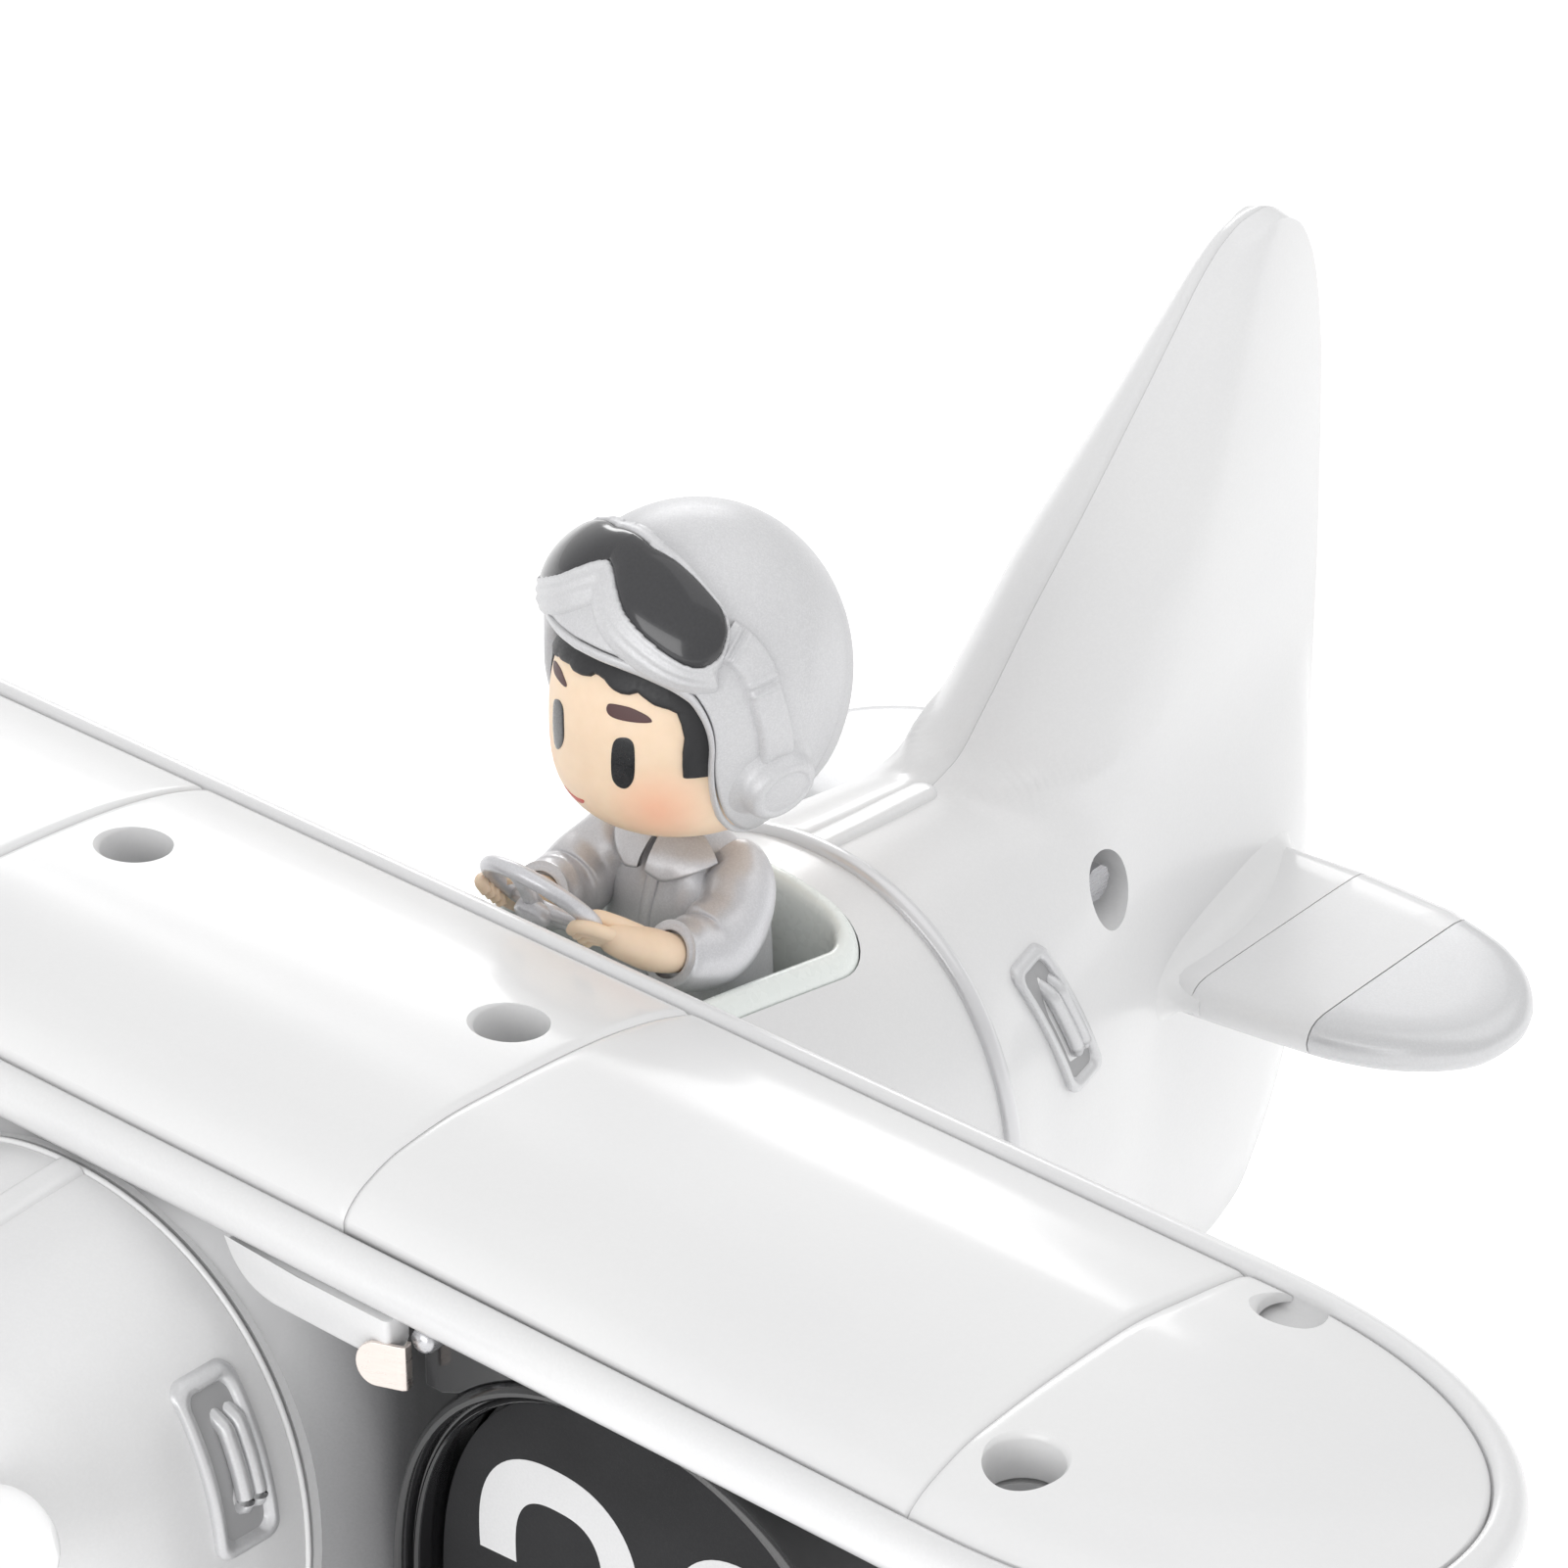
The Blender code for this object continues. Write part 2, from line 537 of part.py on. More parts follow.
for side in (1, -1):
    for x, y in WING_SCREWS:
        k += 1
        sx = side * x
        head = -1.0 if abs(y) > 10 else -1.2
        boolean(upper_wing_top, put(cyl(4.25, 20, "Z", (sx, y, head + 10.0), 14), "wing_screw_bore_%d" % k, None, cutter=True))
        c = put(cyl(1.8, 8.6, "Z", (sx, y, -0.8), 8), "wing_screw_pilot_%d" % k, None, cutter=True)
        boolean(upper_wing_top, c)
        boolean(upper_wing_bottom, c)
        if x == 29.2:
            put(turned([(0.01, head + 2.2), (2.7, head + 2.2), (2.7, head + 0.3), (1.4, head + 0.3), (1.4, -4.6), (0.01, -4.6)], "Z", (sx, y, 0), 10), "wing_screw_" + ("left" if side > 0 else "right"), STEEL, origin=(sx, y, 0))


# ---------------------------------------------------------------- lower wing
LW_TOP, LW_BOT, LW_X0, LW_A = -85.6, -93.6, 92.0, 36.0


def low_ring(inset, z):
    pts = []
    for side in (1, -1):
        for k in range(9):
            t = -math.pi / 2 + math.pi * k / 8
            if side < 0:
                t += math.pi
            c, s = math.cos(t), math.sin(t)
            ex = 2 / WING_N
            pts.append((side * LW_X0 + (LW_A - inset) * math.copysign(abs(c) ** ex, c), WING_Y0 + (28.0 - inset) * math.copysign(abs(s) ** ex, s), z))
        ye = WING_Y0 + side * (28.0 - inset)
        for x in (40, 0, -40):
            pts.append((side * x, ye, z))
    return pts


lower_wing = put(skin([low_ring(3.4, LW_TOP), low_ring(0.9, LW_TOP - 1.2), low_ring(0, (LW_TOP + LW_BOT) / 2), low_ring(0.9, LW_BOT + 1.2), low_ring(3.4, LW_BOT)]), "lower_wing", PEARL)
rings = []
for y in (-70, -45, -20, 10):
    a, c, b = section(y)
    rings.append([(p[0], y, c + p[1]) for p in ellipse(a + GAP, b + GAP, 24, 2.15)])
boolean(lower_wing, put(skin(rings), "belly_saddle", None, cutter=True))
for x0, x1 in ((44, 108), (-108, -44)):
    boolean(lower_wing, put(block(x0, x1, -52, -8, -110, -88.0), "lower_pocket_%d" % x0, None, cutter=True))


# ---------------------------------------------------------------- display pods
def pod_ring(x, y, w, h):
    return [(x + p[0], y, POD_Z + p[1]) for p in ellipse(w, h, 24, POD_N)]


def rod(name, x0, x1, y, z, r, material, origin=None, n=12):
    return put(cyl(r, abs(x1 - x0), "X", ((x0 + x1) / 2, y, z), n), name, material, origin=origin or (0, y, z))


spindles = {}
for side, tag in ((1, "minute"), (-1, "hour")):
    px = side * POD_X
    housing = put(skin([pod_ring(px, POD_Y1, POD_W, POD_H), pod_ring(px, POD_Y0, POD_W, POD_H), pod_ring(px, POD_Y0 - 1.0, POD_W - 0.4, POD_H - 0.4), pod_ring(px, POD_Y0 - 1.5, POD_W - 1.4, POD_H - 1.4), pod_ring(px, POD_Y0 - 1.1, POD_W - 2.6, POD_H - 2.6), pod_ring(px, POD_Y0 + 1, POD_W - 3.0, POD_H - 3.0), pod_ring(px, POD_Y1, POD_W - 2.4, POD_H - 2.4)], loop=True), tag + "_housing", BLACK)
    c = put(cyl(3.0, 90, "X", (px, SPOOL_Y, POD_Z), 12), tag + "_shaft_hole", None, cutter=True)
    boolean(housing, c)
    put(skin([pod_ring(px, POD_Y1 + 9.0, POD_W - 17, POD_H - 17), pod_ring(px, POD_Y1 + 6.3, POD_W - 8, POD_H - 8), pod_ring(px, POD_Y1 + 0.3, POD_W - 3, POD_H - 3), pod_ring(px, POD_Y1 + 0.3, POD_W, POD_H), pod_ring(px, POD_Y1 + 4, POD_W - 1.2, POD_H - 1.2), pod_ring(px, POD_Y1 + 8.5, POD_W - 6, POD_H - 6), pod_ring(px, POD_Y1 + 11, POD_W - 15, POD_H - 15)]), tag + "_rear_cover", PEARL)

    # leaves: half squircles above and below the pivot line
    def half_leaf(y0, y1, up, w, h, pitch=0.35):
        pts = []
        for k in range(13):
            t = math.pi * k / 12
            c, s = math.cos(t), math.sin(t)
            ex = 2 / POD_N
            pts.append((w * math.copysign(abs(c) ** ex, c), (1 if up else -1) * max(h * abs(s) ** ex, pitch)))
        return skin([[(px + u, y, POD_Z + v) for u, v in pts] for y in (y0, y1)])

    put(half_leaf(CARD_Y + 0.55, CARD_Y + 1.75, True, LEAF_W, LEAF_H), tag + "_upper_leaves", CARD)
    put(half_leaf(CARD_Y + 0.55, CARD_Y + 1.75, False, LEAF_W, LEAF_H), tag + "_lower_leaves", CARD)
    put(half_leaf(CARD_Y - 0.2, CARD_Y + 0.2, True, LEAF_W, LEAF_H), tag + "_falling_leaf", CARD, origin=(px, CARD_Y, POD_Z))
    # spool: tube with two flanges
    e = 26.0
    put(turned([(1.8, -e), (14.6, -e), (14.6, -e + 1.4), (5.5, -e + 1.4), (5.5, e - 1.4), (14.6, e - 1.4), (14.6, e), (1.8, e)], "X", (px, SPOOL_Y, POD_Z), 18), tag + "_spool", ACETAL, origin=(px, SPOOL_Y, POD_Z))
    # spindle from inside the fuselage through the pod
    x_in, x_out = side * 14.0, side * (POD_X + POD_W + (4.0 if side > 0 else -3.0))
    spindle = rod(tag + "_spindle", x_in, x_out, SPOOL_Y, POD_Z, 1.5, STEEL, origin=(0, SPOOL_Y, POD_Z))
    spindles[tag] = spindle
    # leaf clip: foot on the housing's inboard corner, bent forward over the leaf's path
    cx = side * 46.0
    clip = put(block(min(side * 41.3, side * 47.3), max(side * 41.3, side * 47.3), POD_Y0 - 3.4, POD_Y0 - 2.9, -16.7, -11.2), tag + "_leaf_clip", NICKEL)
    boolean(clip, put(block(min(side * 46.7, side * 47.3), max(side * 46.7, side * 47.3), POD_Y0 - 3.4, POD_Y0 - 1.9, -16.7, -11.2), tag + "_clip_web", None, cutter=True), "UNION")
    # fairing from fuselage side to pod under the wing's leading edge
    rings = []
    for y in (POD_Y0 - 2.5, POD_Y1 - 4):
        rings.append([(side * x, y, z) for x, z in ((19.0, -7.1), (44.0, -7.1), (44.0, -16.0), (36.5, -28), (36.5, -64), (44.0, -76), (44, -85.0), (31, -85.0), (20, -50))])
    fairing = put(skin(rings), tag + "_pylon", SILVER)
    rr = []
    for y in (-70, -62, -57, -52, -45, -33, -20, 10):
        a, c, b = section(y)
        rr.append([(p[0], y, c + p[1]) for p in ellipse(a + 2 * GAP, b + 2 * GAP, 32, 2.15)])
    boolean(fairing, put(skin(rr), tag + "_pylon_inner", None, cutter=True))
    boolean(fairing, put(skin([pod_ring(px, -80, POD_W + GAP, POD_H + GAP), pod_ring(px, 10, POD_W + GAP, POD_H + GAP)]), tag + "_pylon_outer", None, cutter=True))
    boolean(fairing, put(cyl(3.0, 60, "X", (side * 38, SPOOL_Y, POD_Z), 12), tag + "_pylon_bore", None, cutter=True))
    shell = left_shell if side > 0 else right_shell
    boolean(shell, put(cyl(3.0, 20, "X", (side * 33, SPOOL_Y, POD_Z), 12), tag + "_barrel_bore", None, cutter=True))

# setting knob at the port end of the minute spindle
kx = POD_X + POD_W + 1.0
rings = []
for i, (s, g) in enumerate(((0, 0.3), (6.8, 0.3))):
    ring = []
    for q in range(32):
        t = 2 * math.pi * q / 32
        r = KNOB_R + g - (0.5 if q % 2 else 0)
        ring.append((kx + s, SPOOL_Y + r * math.cos(t), POD_Z + r * math.sin(t)))
    rings.append(ring)
knob = put(skin(rings), "setting_knob", BLACK, origin=(kx, SPOOL_Y, POD_Z))
boolean(knob, put(cyl(1.8, 9.0, "X", (kx, SPOOL_Y, POD_Z), 16), "knob_bore", None, cutter=True))


# ---------------------------------------------------------------- drive
def gear(name, teeth, module, x0, x1, y, z, bore_r, phase, material):
    rp = teeth * module / 2
    pts = []
    for i in range(teeth):
        for f, r in ((-0.34, rp - 0.95 * module), (-0.16, rp + 0.55 * module), (0.16, rp + 0.55 * module), (0.34, rp - 0.95 * module)):
            t = phase + 2 * math.pi * (i + f) / teeth
            pts.append((r * math.cos(t), r * math.sin(t)))
    rings = [[(x, y + u, z + v) for u, v in pts] for x in (x0, x1)]
    rings += [[(x, y + bore_r * math.cos(math.atan2(v, u)), z + bore_r * math.sin(math.atan2(v, u))) for u, v in pts] for x in (x1, x0)]
    return put(skin(rings, loop=True), name, material, origin=(x0, y, z))


PIN_Y = SPOOL_Y + 14.2
fuse(spindles["minute"], gear("minute_drive_gear", 20, 1.0, 16.0, 19.0, SPOOL_Y, POD_Z, 1.2, 0.0, ACETAL))
fuse(spindles["hour"], gear("hour_drive_gear", 20, 1.0, -19.0, -16.0, SPOOL_Y, POD_Z, 1.2, 0.0, ACETAL))
pinion = gear("motor_pinion", 8, 1.0, 15.5, 19.5, PIN_Y, POD_Z, 0.7, math.pi / 8, ACETAL)
fuse(pinion, rod("pinion_shaft", 9.0, 21.0, PIN_Y, POD_Z, 1.0, STEEL, origin=(0, PIN_Y, POD_Z)))
case = put(block(-12.5, 12.5, -48, -10, -60, -32), "movement_case", BLACK)
m = case.modifiers.new("edge", "BEVEL")
m.width = 0.0012
m.segments = 1
boolean(case, put(cyl(1.4, 16, "X", (12, PIN_Y, POD_Z), 16), "case_pinion_hole", None, cutter=True))

# battery tray and the hatch in the belly
tray = put(block(-17.2, 17.2, 2.5, 58.5, -79.3, -64.0), "battery_tray", BLACK)
boolean(tray, put(block(-15.7, 15.7, 4.2, 56.8, -90, -65.8), "battery_tray_pocket", None, cutter=True))
a_cut = put(block(-20.0, 20.0, 1.0, 60.0, -120, -72.0), "hatch_opening", None, cutter=True)
boolean(left_shell, a_cut)
boolean(right_shell, a_cut)
rings = []
for i in range(6):
    y = 1.4 + (59.6 - 1.4) * i / 5
    a, c, b = section(y)
    out, inn = [], []
    for k in range(9):
        x = -19.6 + 39.2 * k / 8
        out.append((x, y, c - b * (1 - abs(x / a) ** 2.15) ** (1 / 2.15)))
        inn.append((x, y, c - (b - WALL) * (1 - abs(x / (a - WALL)) ** 2.15) ** (1 / 2.15)))
    rings.append(out + inn[::-1])
put(skin(rings), "battery_hatch", PEARL)

# ---------------------------------------------------------------- propeller
propeller = put(turned([(0.01, -118), (3.0, -117.4), (6.2, -115.4), (8.8, -112), (10.2, -108), (10.6, -103.4), (0.01, -103.4)], "Y", (0, 0, PROP_Z), 20), "propeller", SILVER, origin=(0, PROP_Y, PROP_Z))
blades = []
for i in range(3):
    ang = math.radians(33 + 120 * i)
    d = Vector((math.cos(ang), 0, math.sin(ang)))
    t = Vector((-math.sin(ang), 0, math.cos(ang)))
    rings = []
    for r, w, tw, th in ((6.0, 3.0, 50, 1.6), (16, 4.6, 42, 1.4), (26, 6.4, 32, 1.15), (36, 7.2, 25, 0.95), (45, 6.4, 20, 0.8), (50.5, 4.2, 17, 0.65), (52.5, 1.4, 16, 0.45)):
        cw, sw = math.cos(math.radians(tw)), math.sin(math.radians(tw))
        u = t * cw + Vector((0, 1, 0)) * sw
        n = t * -sw + Vector((0, 1, 0)) * cw
        c = Vector((0, PROP_Y, PROP_Z)) + d * r
        rings.append([c + u * (w * math.cos(q)) + n * (th * math.sin(q)) for q in [2 * math.pi * k / 8 for k in range(8)]])
    bl = put(skin(rings), "propeller_blade_%d" % (i + 1), PEARL, origin=(0, PROP_Y, PROP_Z))
    fuse(propeller, bl)
put(cyl(2.0, 15, "Y", (0, -95.6, PROP_Z), 16), "propeller_shaft", STEEL, origin=(0, PROP_Y, PROP_Z))

# ---------------------------------------------------------------- undercarriage
for side, tag in ((1, "left"), (-1, "right")):
    rings = []
    for (x, y, z, hx, hy) in ((34, -42, -94.2, 3.0, 9.0), (37, -48, -101, 2.6, 6.5), (40, -56, -109, 2.4, 5.0), (41.5, -60.0, -114, 2.4, 4.8), (42, -62, -119.0, 2.2, 2.6)):
        rings.append([(side * (x + hx * math.cos(q)), y + hy * math.sin(q), z) for q in [2 * math.pi * k / 14 for k in range(14)]])
    leg = put(skin(rings), tag + "_gear_leg", PEARL)
    boolean(leg, put(cyl(2.0, 20, "X", (side * 41, GEAR_Y, AXLE_Z), 16), tag + "_leg_bore", None, cutter=True))
    wx = side * 52.0
    put(turned([(13.6, -5.4), (17.0, -6.4), (19.2, -4.6), (WHEEL_R, 0), (19.2, 4.6), (17.0, 6.4), (13.6, 5.4), (12.8, 0)], "X", (wx, GEAR_Y, AXLE_Z), 24), tag + "_tyre", RUBBER, origin=(wx, GEAR_Y, AXLE_Z))
    put(turned([(1.9, -5.0), (5.0, -5.0), (6.0, -3.2), (13.0, -4.4), (12.4, 0), (13.0, 4.4), (6.0, 3.2), (5.0, 5.6), (1.9, 5.6)], "X", (wx, GEAR_Y, AXLE_Z), 18), tag + "_wheel_hub", SILVER, origin=(wx, GEAR_Y, AXLE_Z))
rod("main_axle", -58.5, 58.5, GEAR_Y, AXLE_Z, 1.6, STEEL)

fork = put(block(-6.2, 6.2, TAILW_Y - 4, TAILW_Y + 4, -128, -112), "tail_wheel_fork", SILVER)
boolean(fork, put(block(-3.4, 3.4, TAILW_Y - 6, TAILW_Y + 6, -134, -117.0), "fork_slot", None, cutter=True))
rings = []
for y in (110, 120, 130, 140, 150):
    zb = interp(y, BELLY)
    ring = []
    for k in range(14):
        x = -12 + 24 * k / 13
        a, c, b = section(y)
        ring.append((x, y, c - (b + GAP) * max(0, 1 - (abs(x) / (a + GAP)) ** 2.15) ** (1 / 2.15)))
    ring += [(12, y, -60), (-12, y, -60)]
    rings.append(ring)
boolean(fork, put(skin(rings), "fork_saddle", None, cutter=True))
put(turned([(1.3, -2.6), (6.8, -2.6), (TAILW_R, -1.4), (TAILW_R, 1.4), (6.8, 2.6), (1.3, 2.6)], "X", (0, TAILW_Y, TAILW_Z), 20), "tail_wheel", RUBBER, origin=(0, TAILW_Y, TAILW_Z))
fuse(fork, rod("tail_axle", -5.5, 5.5, TAILW_Y, TAILW_Z, 1.0, STEEL))
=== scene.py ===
import bpy, bmesh, math, random
import numpy as np
from mathutils import Vector, Matrix, noise


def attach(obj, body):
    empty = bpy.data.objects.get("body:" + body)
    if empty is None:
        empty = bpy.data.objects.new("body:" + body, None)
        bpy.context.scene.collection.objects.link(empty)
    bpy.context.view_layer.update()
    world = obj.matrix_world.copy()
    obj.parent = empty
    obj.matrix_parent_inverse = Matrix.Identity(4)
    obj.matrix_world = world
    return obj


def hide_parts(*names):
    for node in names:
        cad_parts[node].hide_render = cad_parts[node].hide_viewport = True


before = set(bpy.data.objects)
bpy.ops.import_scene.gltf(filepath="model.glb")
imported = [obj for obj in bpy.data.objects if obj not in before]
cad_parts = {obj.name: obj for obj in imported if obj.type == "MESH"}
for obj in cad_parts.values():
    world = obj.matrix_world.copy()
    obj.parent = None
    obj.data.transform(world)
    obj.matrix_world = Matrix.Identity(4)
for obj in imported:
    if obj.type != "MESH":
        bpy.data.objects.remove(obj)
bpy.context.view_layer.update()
SC = bpy.context.scene

# ------------------------------------------------------------------ frame of the drawing
GROUND, YM = -134.0, 24.2


def P(x, y, z):
    return Vector((x / 1000, (y - YM) / 1000, (z - GROUND) / 1000))


def interp(x, pts):
    if x <= pts[0][0]:
        return pts[0][1]
    if x >= pts[-1][0]:
        return pts[-1][1]
    for i in range(len(pts) - 1):
        if x <= pts[i + 1][0]:
            break
    x0, y0 = pts[i]
    x1, y1 = pts[i + 1]
    h = x1 - x0
    d = (y1 - y0) / h
    dm = (y0 - pts[i - 1][1]) / (x0 - pts[i - 1][0]) if i > 0 else d
    dp = (pts[i + 2][1] - y1) / (pts[i + 2][0] - x1) if i + 2 < len(pts) else d
    m0 = 0 if dm * d <= 0 else 2 * dm * d / (dm + d)
    m1 = 0 if dp * d <= 0 else 2 * dp * d / (dp + d)
    t = (x - x0) / h
    return y0 * (1 + 2 * t) * (1 - t) ** 2 + m0 * h * t * (1 - t) ** 2 + y1 * t * t * (3 - 2 * t) + m1 * h * t * t * (t - 1)


# ------------------------------------------------------------------ camera
AL, EL = math.radians(40.31), math.radians(30.71)
FWD = Vector((-math.sin(AL) * math.cos(EL), math.cos(AL) * math.cos(EL), -math.sin(EL)))
cam = bpy.data.objects.new("camera", bpy.data.cameras.new("camera"))
SC.collection.objects.link(cam)
cam.location = P(452.7, -474.3, 402.8)
cam.rotation_mode = "QUATERNION"
cam.rotation_quaternion = FWD.to_track_quat("-Z", "Y")
cam.data.lens, cam.data.sensor_width = 153.24, 36.0
cam.data.clip_start, cam.data.clip_end = 0.02, 20
cam.data.dof.use_dof = False
SC.camera = cam
SC.view_settings.view_transform = "Standard"
SC.view_settings.look = "None"


# ------------------------------------------------------------------ materials
def new_mat(name):
    m = bpy.data.materials.new(name)
    m.use_nodes = True
    nt = m.node_tree
    b = nt.nodes["Principled BSDF"]
    return m, nt, b


def N(nt, kind, **kw):
    n = nt.nodes.new(kind)
    for k, v in kw.items():
        if k in n.inputs:
            n.inputs[k].default_value = v
        else:
            setattr(n, k, v)
    return n


def coords(nt, scale=1000.0):
    g = N(nt, "ShaderNodeTexCoord")
    m = N(nt, "ShaderNodeMapping")
    m.inputs["Scale"].default_value = (scale, scale, scale)
    nt.links.new(g.outputs["Object"], m.inputs["Vector"])
    return m.outputs["Vector"]


def ramp(nt, fac, stops):
    r = N(nt, "ShaderNodeValToRGB")
    e = r.color_ramp.elements
    e[0].position, e[0].color = stops[0][0], (*stops[0][1], 1)
    e[1].position, e[1].color = stops[-1][0], (*stops[-1][1], 1)
    for p, c in stops[1:-1]:
        x = e.new(p)
        x.color = (*c, 1)
    nt.links.new(fac, r.inputs["Fac"])
    return r.outputs["Color"]


def bump(nt, height, strength, dist, chain=None):
    b = N(nt, "ShaderNodeBump")
    b.inputs["Strength"].default_value = strength
    b.inputs["Distance"].default_value = dist
    nt.links.new(height, b.inputs["Height"])
    if chain is not None:
        nt.links.new(chain, b.inputs["Normal"])
    return b.outputs["Normal"]


def maprange(nt, v, a, b, c, d):
    m = N(nt, "ShaderNodeMapRange")
    for i, x in ((1, a), (2, b), (3, c), (4, d)):
        m.inputs[i].default_value = x
    nt.links.new(v, m.inputs[0])
    return m.outputs[0]


def lacquer(name, base, flake, rough=0.3, metal=0.0, coat=0.6, coat_rough=0.12, flake_scale=1.1, flake_rough=0.2, spec=0.5, peel=0.02):
    """Sprayed lacquer: mica flakes, slow tone drift, orange peel, a clear coat."""
    m, nt, b = new_mat(name)
    v = coords(nt)
    vor = N(nt, "ShaderNodeTexVoronoi", Scale=flake_scale)
    vor.feature = "F1"
    nt.links.new(v, vor.inputs["Vector"])
    sep = N(nt, "ShaderNodeSeparateColor")
    nt.links.new(vor.outputs["Color"], sep.inputs[0])
    drift = N(nt, "ShaderNodeTexNoise", Scale=0.03, Detail=2.0)
    nt.links.new(v, drift.inputs["Vector"])
    c1 = ramp(nt, sep.outputs[0], [(0.0, tuple(x * (1 - flake) for x in base)), (0.6, base), (1.0, tuple(min(1, x * (1 + flake)) for x in base))])
    c2 = ramp(nt, drift.outputs["Fac"], [(0.3, (0.975, 0.975, 0.98)), (0.7, (1, 1, 1))])
    mx = N(nt, "ShaderNodeMix", data_type="RGBA", blend_type="MULTIPLY")
    mx.inputs[0].default_value = 1.0
    nt.links.new(c1, mx.inputs[6])
    nt.links.new(c2, mx.inputs[7])
    nt.links.new(mx.outputs[2], b.inputs["Base Color"])
    nt.links.new(maprange(nt, sep.outputs[1], 0, 1, max(rough - flake_rough * 0.5, 0.05), rough + flake_rough * 0.5), b.inputs["Roughness"])
    b.inputs["Metallic"].default_value = metal
    b.inputs["Specular IOR Level"].default_value = spec
    b.inputs["Coat Weight"].default_value = coat
    b.inputs["Coat Roughness"].default_value = coat_rough
    pn = N(nt, "ShaderNodeTexNoise", Scale=0.35, Detail=2.0)
    nt.links.new(v, pn.inputs["Vector"])
    nt.links.new(bump(nt, pn.outputs["Fac"], 0.25, peel / 1000), b.inputs["Normal"])
    return m


def plastic(name, base, rough, grain=0.05, gscale=2.5, gdist=0.02, metal=0.0, coat=0.0, spec=0.5, tone=0.06):
    """Moulded or printed plastic: fine spark-eroded grain and a slight tone change."""
    m, nt, b = new_mat(name)
    v = coords(nt)
    n1 = N(nt, "ShaderNodeTexNoise", Scale=gscale, Detail=3.0)
    n2 = N(nt, "ShaderNodeTexNoise", Scale=0.06, Detail=2.0)
    nt.links.new(v, n1.inputs["Vector"])
    nt.links.new(v, n2.inputs["Vector"])
    add = N(nt, "ShaderNodeMath", operation="ADD")
    nt.links.new(n1.outputs["Fac"], add.inputs[0])
    nt.links.new(n2.outputs["Fac"], add.inputs[1])
    c = ramp(nt, maprange(nt, add.outputs[0], 0.6, 1.4, 0, 1), [(0, tuple(x * (1 - tone) for x in base)), (1, tuple(min(1, x * (1 + tone)) for x in base))])
    nt.links.new(c, b.inputs["Base Color"])
    nt.links.new(maprange(nt, n1.outputs["Fac"], 0.3, 0.7, max(0.02, rough - grain), min(1, rough + grain)), b.inputs["Roughness"])
    b.inputs["Metallic"].default_value = metal
    b.inputs["Coat Weight"].default_value = coat
    b.inputs["Specular IOR Level"].default_value = spec
    nt.links.new(bump(nt, n1.outputs["Fac"], 0.5, gdist / 1000), b.inputs["Normal"])
    return m


def metal(name, base, rough, brushed=(1, 1, 12)):
    m, nt, b = new_mat(name)
    g = N(nt, "ShaderNodeTexCoord")
    mp = N(nt, "ShaderNodeMapping")
    mp.inputs["Scale"].default_value = tuple(350.0 * s for s in brushed)
    nt.links.new(g.outputs["Object"], mp.inputs["Vector"])
    n1 = N(nt, "ShaderNodeTexNoise", Scale=1.0, Detail=3.0)
    nt.links.new(mp.outputs["Vector"], n1.inputs["Vector"])
    c = ramp(nt, n1.outputs["Fac"], [(0.3, tuple(x * 0.93 for x in base)), (0.7, base)])
    nt.links.new(c, b.inputs["Base Color"])
    nt.links.new(maprange(nt, n1.outputs["Fac"], 0.3, 0.7, rough * 0.8, rough * 1.25), b.inputs["Roughness"])
    b.inputs["Metallic"].default_value = 1.0
    nt.links.new(bump(nt, n1.outputs["Fac"], 0.2, 0.004 / 1000), b.inputs["Normal"])
    return m


PEARL = lacquer("pearl_white", (0.775, 0.775, 0.775), 0.006, rough=0.36, coat=0.4, coat_rough=0.12, flake_scale=2.6, flake_rough=0.05)
PEARL2 = lacquer("pearl_silver_body", (0.76, 0.76, 0.762), 0.012, rough=0.34, metal=0.06, coat=0.45, coat_rough=0.14, flake_scale=3.4, flake_rough=0.08)
SILVER = lacquer("silver_paint", (0.64, 0.642, 0.65), 0.03, rough=0.34, metal=0.42, coat=0.3, coat_rough=0.18, flake_scale=5.0, flake_rough=0.1)
TRIM = lacquer("trim_silver", (0.69, 0.69, 0.70), 0.004, rough=0.3, metal=0.45, coat=0.5, coat_rough=0.1, flake_scale=6.0, flake_rough=0.02)
JACKET = lacquer("jacket_silver", (0.66, 0.66, 0.68), 0.05, rough=0.34, metal=0.35, coat=0.12, coat_rough=0.25, flake_scale=5.5, flake_rough=0.12)
HELMET = lacquer("helmet_silver", (0.655, 0.655, 0.665), 0.05, rough=0.46, metal=0.22, coat=0.1, coat_rough=0.3, flake_scale=5.5, flake_rough=0.2)
BLACK = plastic("black_gloss", (0.012, 0.012, 0.013), 0.16, grain=0.03, gdist=0.004, coat=0.4)
BLACKM = plastic("black_satin", (0.02, 0.02, 0.021), 0.42, grain=0.08, gdist=0.02)
CARD = plastic("card_black", (0.024, 0.024, 0.0255), 0.78, grain=0.12, gscale=3.2, gdist=0.05, spec=0.22, tone=0.3)
DIGIT = plastic("digit_grey", (0.64, 0.64, 0.645), 0.6, grain=0.05, gscale=3.0, gdist=0.012)
# vent recess floor darker than the silver frame: painted shade in the recess
VENT_RECESS_SHADE = lacquer("vent_floor_painted_shade", (0.36, 0.36, 0.365), 0.01, rough=0.5, metal=0.1, coat=0.1, coat_rough=0.3, flake_scale=5.0, flake_rough=0.03)
CREAM = lacquer("cockpit_white", (0.83, 0.87, 0.84), 0.01, rough=0.28, coat=0.4, coat_rough=0.12, flake_scale=1.0, flake_rough=0.06)
LENS = plastic("goggle_lens", (0.028, 0.028, 0.031), 0.2, grain=0.03, gdist=0.003, coat=0.5, tone=0.15)
HAIR = plastic("hair_black", (0.022, 0.022, 0.024), 0.5, grain=0.08, gdist=0.02)
